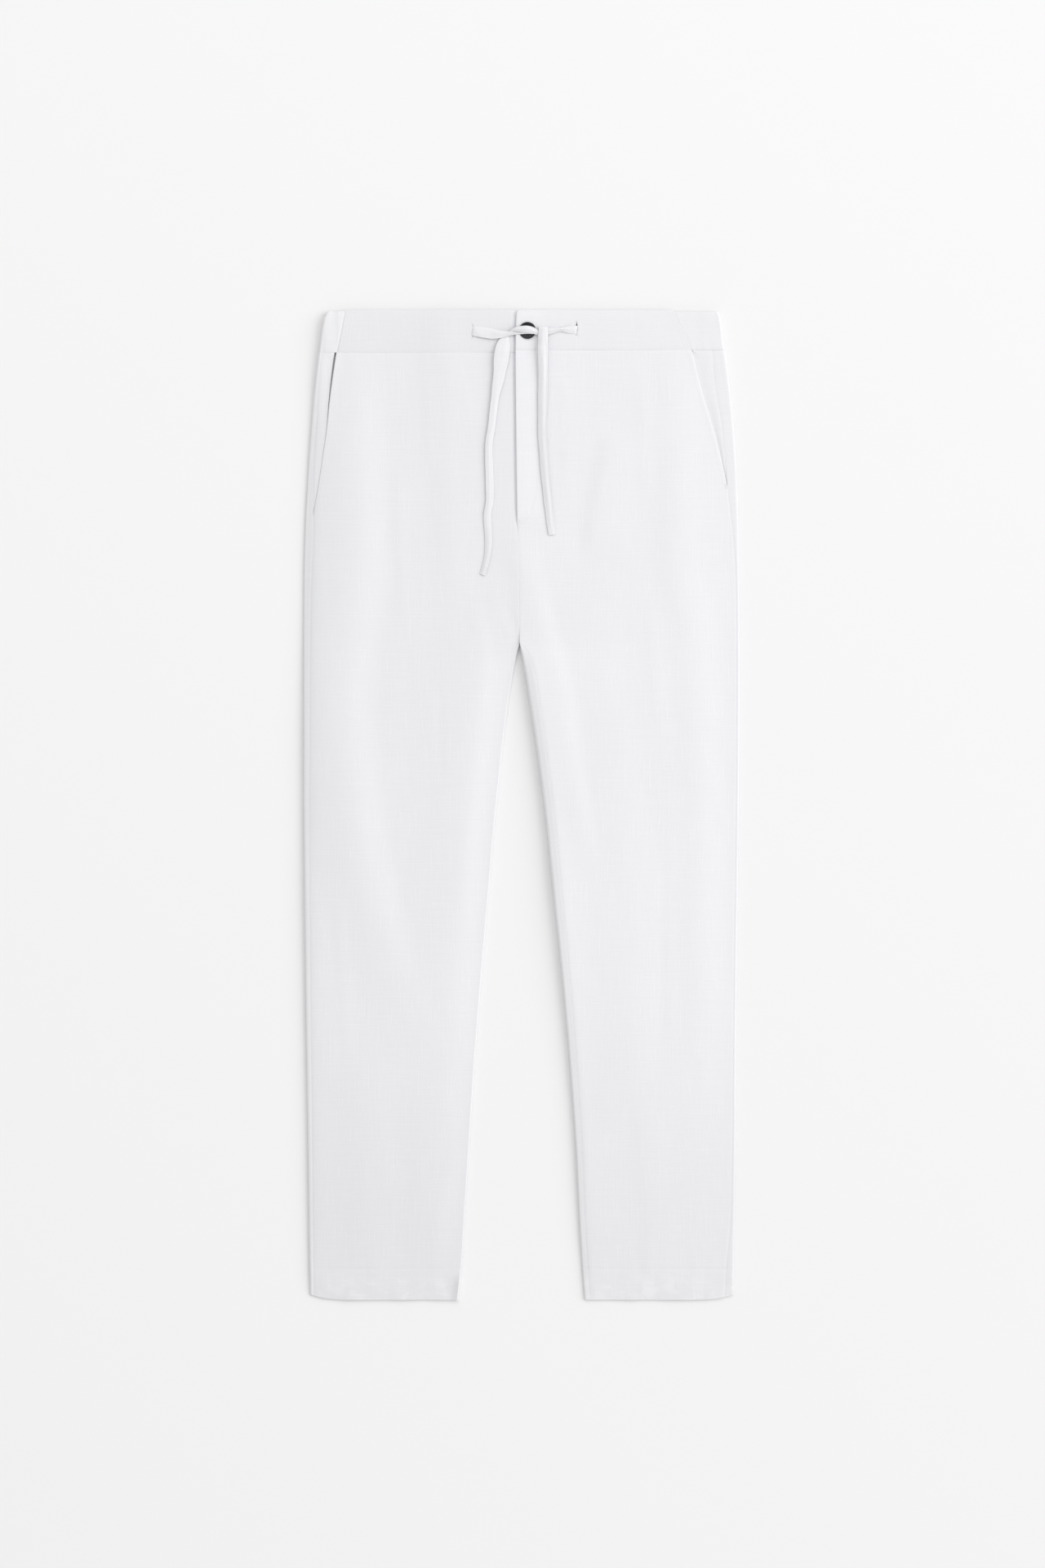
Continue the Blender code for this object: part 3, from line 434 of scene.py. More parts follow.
def top_height(x, down):
    """Height of the upper layer's plain face over the table.

    A leg falls from its middle height towards its edges. On the wearer's right the side is
    round and a long gentle slope follows; towards the wearer's left the edges lie flatter.
    """
    x = np.asarray(x, float)
    down = down + 0.0 * x
    right_mid, left_mid, right_out, left_out, right_in, left_in = (
        read_off(HEIGHTS, down, column) for column in range(1, 7))
    parted = smooth_step((down - CROTCH + 20) / 40.0)
    inner = np.clip(x - inside_x(1, down), 0, None)
    outer = np.clip(x - side_x(-1, down), 0, None)
    from_inner = np.clip(inside_x(-1, down) - x, 0, None)
    from_outer = np.clip(side_x(1, down) - x, 0, None)
    round_side = 0.5 * np.exp(-outer / 7.0) + 0.5 * np.exp(-outer / 20.0)
    right_leg = (right_mid + (right_out - right_mid) * round_side
                 - read_off(OUTER_DROP, down) * hump(outer, OUTER_DROP_REACH)
                 + (right_in - right_mid) * parted * hump(from_inner, EDGE_SWELL))
    left_leg = (left_mid + (left_out - left_mid) * hump(from_outer, LEFT_EDGE_SWELL)
                + (left_in - left_mid) * parted * np.exp(-inner / INNER_SWELL)
                - read_off(INNER_ROLL, down, 2) * parted * hump(inner, INNER_DROP_REACH))
    return np.where(x < CROTCH_X, right_leg, left_leg) + fold_sum(FOLDS, x, down)


def hem_groove(down):
    """The hem's stitching draws the cloth in a little, and the hem below it is thicker."""
    below = down - HEM_TOP
    return -0.18 * hump(below - 1.4, 1.6) + 0.10 * smooth_step((below - 3) / 6)


def hem_pucker(x, down):
    below = down - HEM_TOP
    return (0.13 * hump(below - 1.0, 9.0) * soft_noise(x / 7.5 + 3.3, down / 26.0)
            + 0.50 * smooth_step((below - 6) / 12.0) * soft_noise(x / 13.0 + 8.1, down / 15.0))


def front_face(x, down):
    """The upper layer's face with its creases and the linen's own unevenness."""
    down = down + 0.0 * x
    rough = (0.16 * soft_noise(x / 34.0 + 5, down / 70.0)
             + 0.075 * soft_noise(x / 12.0, down / 26.0 + 9)
             + 0.03 * soft_noise(x / 4.6 + 7, down / 8.0))
    inward = np.clip((x - inside_x(-1, down) + CURL_REACH) / CURL_REACH, 0, 1) ** 1.4
    corner = smooth_step((down - HEM_TOP - 2) / 14.0) * inward * (x < CROTCH_X)
    return (top_height(x, down) + fold_sum(CREASES, x, down) + rough
            + hem_groove(down) + hem_pucker(x, down) + CURL_RISE * corner)


def back_face(x, down):
    """The lower layer's face: it touches the table, with shallow creases pressed upwards."""
    down = down + 0.0 * x
    rough = (0.10 * (1 + soft_noise(x / 30.0 + 31, down / 62.0 + 3))
             + 0.05 * (1 + soft_noise(x / 11.0 + 2, down / 24.0))
             + 0.03 * (1 + soft_noise(x / 4.6 + 17, down / 8.0 + 5)))
    pucker = 0.10 * (1 + soft_noise(x / 7.5 + 23, down / 26.0)) * hump(down - HEM_TOP - 1.0, 9.0)
    return ridge_sum(BACK_CREASES, x, down) + rough + pucker - 0.5 * hem_groove(down)


def at_table(x, down, z):
    """Places in millimetres as points in metres, one to a row; the hem's corners curve up."""
    x = np.asarray(x, float)
    out = np.where(x < 0, -side_x(-1, LENGTH), side_x(1, LENGTH))
    share = np.clip(1.0 - (out - np.abs(x)) / HEM_LIFT_REACH, 0, 1)
    y = LENGTH / 2 - down + HEM_LIFT * share * share * smooth_step((down - HEM_TOP) / 35.0)
    return np.stack((x * MM, y * MM, z * MM + 0.0 * x), axis=-1)


# ---- cloth ----

EDGE_OFFSETS = (0.0, 0.35, 0.8, 1.4, 2.2, 3.4, 5.2)
ACROSS = 52                # steps across a front leg, a back leg and the waistbands
BACK_ACROSS = 54
BAND_ACROSS = 34
FLY_END_ACROSS = 12
BACK_BAND_ACROSS = 150
ALONG = 3.4                # from one row to the next
STRIP_STEPS = 5
ROLL_STEPS = 12
LEAN = 82.0                # degrees from level at which the cloth starts to turn over a side
RIGHT_LEAN_LESS = 8.0      # less on the right side, below the waist
INSEAM_LEAN = 72.0
PANEL_EXTRA = (CROTCH, CROTCH + 1.2, CROTCH + 2.6) + tuple(
    HEM_TOP + v for v in (-2, -1, 0, 0.6, 1.2, 1.8, 2.6, 3.6, 5))


def cloth_stops(start, end, count):
    """Places across a piece, close together at both ends."""
    way = 1.0 if end > start else -1.0
    room = abs(end - start)
    near = np.array(EDGE_OFFSETS) * min(1.0, room / (2.6 * EDGE_OFFSETS[-1]))
    middle = np.linspace(near[-1], room - near[-1], count + 1)[1:-1]
    return start + way * np.concatenate((near, middle, room - near[::-1]))


def cells(count):
    """How many cells lie across a run of cloth_stops."""
    return len(EDGE_OFFSETS) * 2 + count - 2


def row_stops(first, last, step, extra=()):
    """Distances below the waist for the rows of a piece, close together at both ends."""
    near = np.array(EDGE_OFFSETS)
    rows = np.concatenate((first + near, np.arange(first + 8, last - 7, step), last - near,
                           np.array(extra, float)))
    rows = np.unique(np.round(rows, 3))
    keep = [rows[0]]
    for row in rows[1:]:
        if row - keep[-1] > 0.28 or row in extra:
            keep.append(row)
    return keep


def layer(xs, zs, cloth):
    """A run of points: outer face x and z, inner face x and z; a minus cloth lies above zs."""
    return np.column_stack((xs, zs, xs, zs - cloth))


def lower_run(start, end, down, cloth, lift=0.35):
    """The layer on the table, which lifts a little into a seam at its end."""
    xs = cloth_stops(start, end, BACK_ACROSS)
    run = layer(xs, back_face(xs, down), -cloth)
    run[:, 1] += lift * hump(end - xs, 1.4)
    return run


def roll_start(edge, side, radius, lean=LEAN):
    return edge - side * radius * (1 - math.cos(math.radians(lean)))


def roll_on(run, edge, side, down, cloth, radius, lean=LEAN):
    """Takes a run on over a rolled side, from the upper layer down to the table."""
    height = run[-1, 1]
    floor = back_face(edge - side * radius, down)
    inner = max(radius - cloth, 0.25)
    first = math.radians(lean)
    angle = first - (first + np.pi / 2) * np.arange(ROLL_STEPS + 1) / ROLL_STEPS
    half = (height - floor) / (1 + math.sin(first))
    inner_half = (height - floor - 2 * cloth) / (1 + math.sin(first))
    return np.vstack((run[:-1], np.column_stack((
        edge - side * radius * (1 - np.cos(angle)),
        floor + half + half * np.sin(angle),
        edge - side * (cloth + inner) + side * inner * np.cos(angle),
        floor + cloth + inner_half * (1 + np.sin(angle))))))


def press_seam(run, distance, depth, width):
    """The cloth dips into a seam that lies at distance 0."""
    run[:, 1] -= depth * hump(distance, width) * np.sign(run[:, 1] - run[:, 3])
    return run


def round_fold(run, distance, cloth, radius=1.1):
    """A folded edge at distance 0 is round: both faces draw together there."""
    inside = np.clip(1 - distance / radius, 0, 1)
    draw = 0.42 * cloth * (1 - np.sqrt(np.clip(1 - inside ** 2, 0, 1)))
    sign = np.sign(run[:, 1] - run[:, 3])
    run[:, 1] -= sign * draw
    run[:, 3] += sign * draw
    return run


def new_piece(name, points, faces, material, weave=None, turn_out=False):
    """A mesh object. A weave is the threads' own map, with one place to a point, and turn_out
    makes every face look outwards."""
    mesh = bpy.data.meshes.new(name)
    mesh.from_pydata(points.tolist(), [], faces)
    if weave is not None:
        threads = mesh.uv_layers.new(name="threads")
        threads.data.foreach_set("uv", weave[np.array(faces).ravel()].ravel())
    if turn_out:
        shell = bmesh.new()
        shell.from_mesh(mesh)
        bmesh.ops.recalc_face_normals(shell, faces=shell.faces)
        shell.to_mesh(mesh)
        shell.free()
    mesh.shade_smooth()
    if weave is not None:
        mesh.set_sharp_from_angle(angle=math.radians(60))
    mesh.materials.append(material)
    piece = bpy.data.objects.new(name, mesh)
    bpy.context.collection.objects.link(piece)
    return piece


def cloth_shell(name, rows, material, gone=np.s_[:0], anchor=20):
    """A closed thin shell through rows of (down, run), without the cells that are gone.

    The weave's map is measured along the outer face from the anchor point of each row.
    """
    outer = []
    inner = []
    weave = []
    for down, run in rows:
        grain = 1.0 if run[anchor + 1, 0] > run[anchor, 0] else -1.0
        outer.append(at_table(run[:, 0], down, run[:, 1]))
        inner.append(at_table(run[:, 2], down, run[:, 3]))
        length = running_sum(np.hypot(np.diff(run[:, 0]), np.diff(run[:, 1])))
        across = (length - length[anchor]) * grain + run[anchor, 0]
        weave.append(np.stack((across, down + 0.0 * length), -1) * MM)
    outer = np.array(outer)
    inner = np.array(inner)
    index = np.arange(outer[..., 0].size).reshape(outer.shape[:2])
    there = np.ones((index.shape[0] - 1, index.shape[1] - 1), bool)
    there[gone] = False
    corner = (index[:-1, :-1], index[1:, :-1], index[1:, 1:], index[:-1, 1:])
    under = tuple(part + index.size for part in corner)
    faces = [np.stack(corner, -1)[there], np.stack(under[::-1], -1)[there]]
    padded = np.pad(there, 1)
    beside = (padded[1:-1, :-2], padded[2:, 1:-1], padded[1:-1, 2:], padded[:-2, 1:-1])
    for s in range(4):
        n = (s + 1) % 4
        edge = np.stack((corner[n], corner[s], under[s], under[n]), -1)
        faces.append(edge[there & ~beside[s]])
    used, faces = np.unique(np.concatenate(faces), return_inverse=True)
    faces = faces.reshape(-1, 4)
    points = np.concatenate((outer.reshape(-1, 3), inner.reshape(-1, 3)))[used]
    weave = np.concatenate(weave + weave)[used]
    a, b, d = points[faces[0, 0]], points[faces[0, 1]], points[faces[0, 3]]
    i, k = np.argwhere(there)[0]
    if np.dot(np.cross(b - a, d - a), outer[i, k] - inner[i, k]) < 0:
        faces = faces[:, ::-1]
    return new_piece(name, points, faces.tolist(), material, weave)


def finish(piece, node=None):
    """Attaches a piece to the root body, and hides the node it replaces."""
    if node:
        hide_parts(node)
    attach(piece, "root")
    return piece


def cloth_at(down):
    """The turned hem is thicker, and pressed thin at its fold."""
    turned = smooth_step((down - HEM_TOP + 0.5) / 1.5)
    pressed = 0.4 * smooth_step((down - LENGTH + 5.0) / 5.0)
    return CLOTH + (HEM_CLOTH - CLOTH) * turned - (HEM_CLOTH - CLOTH) * 2.4 * pressed


# ---- legs ----

def panel_rows(side):
    return row_stops(BAND_DEPTH[side] + BUTT, LENGTH, ALONG, PANEL_EXTRA)


def front_outer_x(side, down):
    return mouth_x(side, down) if down < MOUTH_END[side] else side_seam_x(side, down)


def mouth_lift(side, down, xs):
    """A pocket's mouth stands off the facing a little."""
    below = down - BAND_DEPTH[side]
    share = 1.0 - below / (MOUTH_END[side] - BAND_DEPTH[side])
    height = MOUTH_LIFT[side] * smooth_step(share) * (0.4 + 0.6 * smooth_step(below / 9.0))
    return height * hump(xs - front_outer_x(side, down), MOUTH_LIFT_REACH)


def press_ends(run, down, side, cloth):
    """Rows near the waistband dip into its seam, and rows near the hem round off."""
    press_seam(run, down - BAND_DEPTH[side], 0.26, 1.5)
    return round_fold(run, LENGTH - down, cloth, 0.45)


def front_run(side, down, start, end, cloth):
    xs = cloth_stops(start, end, ACROSS)
    run = layer(xs, front_face(xs, down) + mouth_lift(side, down, xs), cloth)
    from_outer = np.abs(xs - (start if side < 0 else end))
    if down < MOUTH_END[side]:
        return round_fold(run, from_outer, cloth, 1.0)
    return press_seam(run, from_outer, 0.16 * smooth_step((down - MOUTH_END[side]) / 6.0), 1.0)


def right_front(material):
    """The wearer's right front leg, rolled under at the inner side below the crotch."""
    rows = []
    downs = panel_rows(-1)
    for down in downs:
        cloth = cloth_at(down)
        start = front_outer_x(-1, down) + BUTT
        if down < CROTCH:
            end = centre_x(-1, down)
            run = front_run(-1, down, start, end, cloth)
            share = 1.0 - smooth_step((down - 200) / 40.0)
            press_seam(run, end - run[:, 0], 0.14 + 1.2 * share, 1.2 + 1.3 * share)
            run = np.vstack((run, np.repeat(run[-1:], ROLL_STEPS + 1, axis=0)))
        else:
            edge = inside_x(-1, down)
            radius = parting_radius(-1, down)
            run = front_run(-1, down, start, roll_start(edge, 1, radius), cloth)
            run = roll_on(run, edge, 1, down, cloth, radius)
            floor = back_face(edge - radius, down)
            run = np.vstack((run, layer(edge - radius - UNDER_STRIP, floor, -cloth)))
        rows.append((down, press_ends(run, down, -1, cloth)))
    return cloth_shell("right_front_leg", rows, material,
                       np.s_[:downs.index(CROTCH), cells(ACROSS):], 30)


def left_front(material):
    """The wearer's left front leg, which ends on top at the fly, centre seam and inseam."""
    rows = []
    for down in panel_rows(1):
        cloth = cloth_at(down)
        start = centre_x(1, down) if down < CROTCH else inseam_x(down) + BUTT
        run = front_run(1, down, start, front_outer_x(1, down) - BUTT, cloth)
        distance = run[:, 0] - start
        run[:, 1] += fly_rise(distance, down)
        if down < FLY_DEPTH:
            round_fold(run, distance, cloth)
        else:
            press_seam(run, distance, 0.09, 1.2)
        rows.append((down, press_ends(run, down, 1, cloth)))
    return cloth_shell("left_front_leg", rows, material, anchor=30)


def strip_and_roll(seam, edge, side, down, cloth, radius, lean):
    """From a seam on top over the rolled side to the table."""
    start = seam + side * BUTT
    xs = np.linspace(start, roll_start(edge, side, radius, lean), STRIP_STEPS + 1)
    run = press_seam(layer(xs, front_face(xs, down), cloth), np.abs(xs - start), 0.16, 1.0)
    return roll_on(run, edge, side, down, cloth, radius, lean)


def outer_side(side, down, cloth, lean=LEAN):
    return strip_and_roll(side_seam_x(side, down), side_x(side, down), side, down, cloth,
                          side_radius(side, down), lean)


def back_row(side, down, run, cloth):
    """A back leg's row; the panels' top edge slants to meet at the centre."""
    run = press_ends(run, down, side, cloth)
    rise = (BAND_DEPTH[-1] + BAND_DEPTH[1]) / 2 - BAND_DEPTH[side]
    reach = abs(side_x(side, 44.0) - CROTCH_X)
    inward = np.clip(1.0 - np.abs(run[:, 0] - CROTCH_X) / reach, 0, 1)
    near = 1.0 - smooth_step((down - BAND_DEPTH[side]) / 22.0)
    return down + rise * inward * near * smooth_step(2.0 - run[:, 1]), run


def right_back(material):
    """The wearer's right back leg, rolled over the outer side onto the front."""
    rows = []
    for down in panel_rows(-1):
        cloth = cloth_at(down)
        lean = LEAN - RIGHT_LEAN_LESS * smooth_step((down - 40) / 200.0)
        over = outer_side(-1, down, cloth, lean)
        end = CROTCH_X - BUTT
        if down >= CROTCH:
            end = inside_x(-1, down) - parting_radius(-1, down) - UNDER_STRIP - BUTT
        flat = lower_run(over[-1, 0], end, down, cloth)
        rows.append(back_row(-1, down, np.vstack((over, flat[1:])), cloth))
    return cloth_shell("right_back_leg", rows, material, anchor=50)


def left_back(material):
    """The wearer's left back leg, rolled over the outer side and over the inseam side."""
    rows = []
    downs = panel_rows(1)
    side_cells = STRIP_STEPS + ROLL_STEPS
    for down in downs:
        cloth = cloth_at(down)
        over = outer_side(1, down, cloth)
        if down < CROTCH:
            flat = lower_run(over[-1, 0], CROTCH_X + BUTT, down, cloth)
            run = np.vstack((over, flat[1:], np.repeat(flat[-1:], side_cells, axis=0)))
        else:
            inner = inside_x(1, down)
            parting = parting_radius(1, down)
            flat = lower_run(over[-1, 0], inner + parting, down, cloth, 0.0)
            side = strip_and_roll(inseam_x(down), inner, -1, down, cloth, parting,
                                  INSEAM_LEAN)
            run = np.vstack((over, flat[1:-1], side[::-1]))
        rows.append(back_row(1, down, run, cloth))
    return cloth_shell("left_back_leg", rows, material,
                       np.s_[:downs.index(CROTCH), side_cells + cells(BACK_ACROSS):], 50)


# ---- pockets and the fly's strip ----

FACING_OUTSIDE = (3.2, 2.5, 1.9, 1.4, 1.0, 0.7, 0.45, 0.2, 0.0)
FACING_INSIDE = (0.3, 0.7, 1.3, 3.5, 7.0, 10.5)
FACING_LEVEL = {-1: 0.22, 1: 0.32}


def facing_sink(side, down, outside):
    """How far the facing lies below the front's face, by the distance outside the mouth."""
    upper = 1.0 - smooth_step((down - BAND_DEPTH[side]) / 105.0)
    under_band = smooth_step((down - BAND_DEPTH[side]) / 9.0)
    closed = CLOTH + 0.12
    level = FACING_LEVEL[side] + 0.15 * under_band
    if side > 0:
        wide = 0.6 * (side_seam_x(1, down) - mouth_x(1, down))
        reach = max(0.9, 0.9 + (wide - 0.9) * under_band)
        return closed + (level - closed) * smooth_step(outside / reach)
    lying = closed + (level - closed) * smooth_step((outside + 0.30) / 0.75)
    shallow = (0.3 + 0.6 * upper) * under_band + 0.2
    deep = CLOTH + 0.15 + 4.0 * upper ** 1.5
    gape = 0.15 + 1.6 * upper ** 1.2
    hollow = shallow + (deep - shallow) * np.exp(-(np.clip(outside, 0, None) / gape) ** 4)
    return lying + (hollow - lying) * smooth_step(upper * 3.0)


def pocket_facing(side, material):
    """The side piece behind a pocket's mouth; the right mouth gapes at its upper end."""
    rows = []
    for down in row_stops(BAND_DEPTH[side] + BUTT, MOUTH_END[side] + 2.0, 4.0):
        seam = side_seam_x(side, down) - side * BUTT
        mouth = mouth_x(side, down)
        width = max(side * (seam - mouth), 0.1)
        near = min(FACING_OUTSIDE[0], width * 0.5)
        outer = mouth + side * np.array(FACING_OUTSIDE) * near / FACING_OUTSIDE[0]
        inner = mouth - side * np.array(FACING_INSIDE + (FACING_TUCK,))
        xs = np.concatenate((np.linspace(seam, outer[0], 6)[:-1], outer, inner))
        level = 1.0 - min(width / 5.0, 1.0)
        share = level + (1.0 - level) * smooth_step(np.abs(xs - seam) / (width * 0.8))
        zs = front_face(xs, down) - facing_sink(side, down, side * (xs - mouth)) * share
        run = press_seam(layer(xs, zs, CLOTH), np.abs(xs - seam), 0.25, 1.0)
        rows.append((down, press_seam(run, down - BAND_DEPTH[side], 0.25, 1.2)))
    return cloth_shell(SIDE_NAME[side] + "_pocket_facing", rows, material, anchor=4)


def underlap(material):
    """The strip behind the fly's opening."""
    rows = []
    xs = np.linspace(UNDERLAP_RIGHT, UNDERLAP_LEFT, 18)
    for down in row_stops(UNDERLAP_TOP, FLY_DEPTH + 4.0, 4.0):
        zs = front_face(xs, max(down, BAND_DEPTH[-1] + 0.3)) - UNDERLAP_SINK
        rows.append((down, round_fold(layer(xs, zs, CLOTH), down - UNDERLAP_TOP, CLOTH)))
    return cloth_shell("fly_strip", rows, material, anchor=4)


# ---- waistband ----

BAND_CORNER = 3.2


def slanted(side, down):
    """The x of the slanted seam where a front waistband meets the back one."""
    top, low = BAND_SEAM[side]
    return side * (top + (low - top) * down / BAND_DEPTH[side])


def gather(x, down, side):
    """The back band is drawn in by elastic: short upright pleats."""
    inward = smooth_step(side * (x - side * BAND_SEAM[side][0]) / 8)
    return 0.22 * soft_noise(x / 3.4 + 50, down / 60.0) * inward


def band_face(x, down):
    down = down + 0.0 * x
    rough = 0.10 * soft_noise(x / 22.0 + 40, down / 20.0) + 0.035 * soft_noise(x / 5.0, down / 7.0)
    pillow = 0.28 * np.sin(np.pi * np.clip(down / 44.0, 0, 1)) ** 0.5
    return top_height(x, down) + BAND_STEP - 0.2 + pillow + rough


def press_band(run, down, depth):
    """The band's top edge is a fold, and its lower edge dips into the seam."""
    return press_seam(round_fold(run, down, BAND, 1.6), depth - down, 0.28, 1.8)


def front_band(side, material):
    """A front waistband with a slit for the drawstring."""
    slit_x, slit_top, slit_low = SLITS[side]
    depth = BAND_DEPTH[side]
    downs = row_stops(0.0, depth - BUTT, 2.6, (slit_top, slit_low, slit_top + 0.5, slit_low - 0.5))
    rows = []
    for down in downs:
        outer_end = slanted(side, down) - side * BUTT
        fly_end = centre_x(side, down)
        if down < BAND_CORNER:
            rise = math.sqrt(BAND_CORNER ** 2 - (BAND_CORNER - down) ** 2)
            fly_end += side * (BAND_CORNER - rise)
        half = SLIT_HALF[side]
        if slit_top <= down <= slit_low:
            middle = (slit_top + slit_low) / 2
            off = abs(down - middle) / (slit_low - middle)
            half *= 0.16 + 0.84 * smooth_step(1.6 * (1 - off))
        xs = np.concatenate((cloth_stops(outer_end, slit_x + side * half, BAND_ACROSS),
                             cloth_stops(slit_x - side * half, fly_end, FLY_END_ACROSS)))
        run = layer(xs, band_face(xs, down), BAND)
        near_slit = np.clip(np.abs(xs - slit_x) - half, 0, None)
        away = np.hypot(near_slit, max(slit_top - down, down - slit_low, 0.0))
        run[:, 1] -= 0.4 * half * hump(away, 0.8)
        run[:, 1] += 0.05 * hump(away - 2.0, 1.2)
        press_seam(run, np.abs(xs - outer_end), SLANT_DIP[side], 0.9)
        from_fly = np.abs(xs - fly_end)
        if side > 0:
            run[:, 1] += fly_rise(from_fly, down)
            round_fold(run, from_fly, BAND, 1.2)
        else:
            press_seam(run, from_fly, 1.3, 2.4)
        rows.append((down, press_band(run, down, depth)))
    slit_rows = slice(downs.index(slit_top), downs.index(slit_low))
    return cloth_shell(SIDE_NAME[side] + "_front_waistband", rows, material,
                       (slit_rows, cells(BAND_ACROSS)))


def side_of_band(side, down):
    """The back waistband's strip on top and its rolled side."""
    edge = side_x(side, down)
    seam = slanted(side, down) + side * BUTT
    xs = cloth_stops(seam, edge - side * TURN_RADIUS_MOST, 8)
    run = layer(xs, band_face(xs, down) + gather(xs, down, side), BAND)
    press_seam(run, np.abs(xs - seam), SLANT_DIP[side], 0.8)
    run = roll_on(run, edge, side, down, BAND, TURN_RADIUS_MOST, 90.0)
    return press_band(run, down, BAND_DEPTH[side] - BUTT)


def back_band(material):
    """The back waistband: it rolls over both sides and ends at the slanted seams."""
    rows = []
    low_right = BAND_DEPTH[-1] - BUTT
    low_left = BAND_DEPTH[1] - BUTT
    for share in np.array(row_stops(0.0, low_right, 2.6)) / low_right:
        right = side_of_band(-1, share * low_right)
        left = side_of_band(1, share * low_left)
        start, end = right[-1, 0], left[-1, 0]
        xs = cloth_stops(start, end, BACK_BAND_ACROSS)[1:-1]
        part = (xs - start) / (end - start)
        downs = share * (low_right + (low_left - low_right) * part)
        pleats = 0.16 * (1 + soft_noise(xs / 3.6 + 11, downs / 70.0))
        pleats += 0.16 * (1 + soft_noise(xs / 9.0 + 70, downs / 50.0))
        channel = 0.25 * hump(downs - 22.0, 1.6)
        zs = back_face(xs, downs) + pleats * np.sin(np.pi * share) ** 0.4 + channel
        flat = layer(xs, zs, -BAND)
        flat[:, 1] += 0.5 * hump(min(share * low_right, (1 - share) * low_right), 1.5)
        run = np.vstack((right, flat, left[::-1]))
        downs = np.concatenate((np.full(len(right), share * low_right), downs,
                                np.full(len(left), share * low_left)))
        rows.append((downs + BACK_BAND_DROP * (1 - share) * smooth_step(3 - run[:, 1] / 2), run))
    return cloth_shell("back_waistband", rows, material)


# ---- drawstring ----

def unit(vector):
    vector = np.asarray(vector, float)
    return vector / np.linalg.norm(vector)


def under_tape(x, down):
    """What a tape lies on: the waistband, and the panels below it."""
    depth = BAND_DEPTH[-1 if x < CROTCH_X else 1]
    return top_height(x, down) + BAND_STEP * (1.0 - smooth_step((down - depth) / 8.0))


def tape_frames(line):
    """The side and face directions of a tape, which turns over where it folds back."""
    side = np.array((0.0, 1.0, 0.0))
    frames = []
    for k in range(len(line)):
        ahead = unit(line[min(k + 1, len(line) - 1)] - line[max(k - 1, 0)])
        level = np.array((-ahead[1], ahead[0], 0.0))
        if np.linalg.norm(level) > 0.45:
            level = unit(level)
            side = level if np.dot(level, side) >= 0 else -level
        side = unit(side - np.dot(side, ahead) * ahead)
        frames.append((side, np.cross(ahead, side)))
    return frames


def tape_piece(name, table, node, far_seed, material):
    """A limp flat tape: a thin woven strip that arches, folds and turns along its way."""
    stops = np.linspace(0, len(table) - 1, (len(table) - 1) * TAPE_STEPS + 1)
    x, down, over, width, arch, tilt, crease_at, crease = (
        along(np.arange(len(table)), column, stops) for column in zip(*table))
    under = np.array([under_tape(a, b) for a, b in zip(x, down)])
    line = np.column_stack((x * MM, (LENGTH / 2 - down) * MM, (under + over) * MM))
    lengths = running_sum(np.linalg.norm(np.diff(line, axis=0), axis=1))
    across = np.linspace(-1, 1, TAPE_SIDES + 1)
    thick = TAPE / 2 * np.sqrt(np.clip(1 - np.abs(across) ** 6, 0.12, 1))
    rings = []
    for k, (level, up) in enumerate(tape_frames(line)):
        turn = math.radians(tilt[k])
        side = level * math.cos(turn) + up * math.sin(turn)
        out = up * math.cos(turn) - level * math.sin(turn)
        at = lengths[k] / MM
        crush = np.clip(1.0 - width[k] / 14.0, 0, 1)
        wave = crush * 0.6 * np.cos(across * np.pi * 1.5
                                    + 0.9 * soft_noise(at / 26.0 + far_seed, 1.5))
        wave = wave + 0.22 * soft_noise(across * 1.6 + far_seed, at / 7.0)
        wave = wave + crease[k] * hump(across - crease_at[k], 0.22)
        bow = arch[k] * (1 - across ** 2) - arch[k] * 0.6
        middle = (bow + wave * min(1.0, arch[k])) * up[2]
        half = width[k] / 2 * (1 + 0.05 * soft_noise(at / 9.0, far_seed))
        flat = line[k] + side[None, :] * (half * across)[:, None] * MM
        upper, lower = (flat + out[None, :] * ((middle + face) * MM)[:, None]
                        for face in (thick, -thick))
        rings.append(np.vstack((upper, lower[::-1])))
    size = len(rings[0])
    index = np.arange(len(rings) * size).reshape(-1, size)
    ahead = np.roll(index, -1, axis=1)
    faces = np.stack((index[:-1], ahead[:-1], ahead[1:], index[1:]), -1).reshape(-1, 4).tolist()
    for ring, order in ((index[0], 1), (index[-1], -1)):
        for k in range(TAPE_SIDES):
            faces.append([ring[k], ring[-1 - k], ring[-2 - k], ring[k + 1]][::order])
    around = np.concatenate((across, across[::-1])) * 0.5 + 0.5
    weave = np.stack(np.broadcast_arrays(TAPE_WIDTH * MM * around, lengths[:, None]), -1)
    piece = new_piece(name, np.vstack(rings), faces, material, weave.reshape(-1, 2), True)
    finish(piece, node)


# ---- button and sewing ----

def nothing_selected():
    if bpy.context.mode != "OBJECT":
        bpy.ops.object.mode_set(mode="OBJECT")
    for thing in bpy.context.view_layer.objects:
        thing.select_set(False)


def pick_faces(test):
    """In edit mode, selects the faces for which the test holds and nothing else."""
    shape = bmesh.from_edit_mesh(bpy.context.object.data)
    bpy.ops.mesh.select_mode(type="FACE")
    bpy.ops.mesh.select_all(action="DESELECT")
    for face in shape.faces:
        face.select = test(face)
    bmesh.update_edit_mesh(bpy.context.object.data)


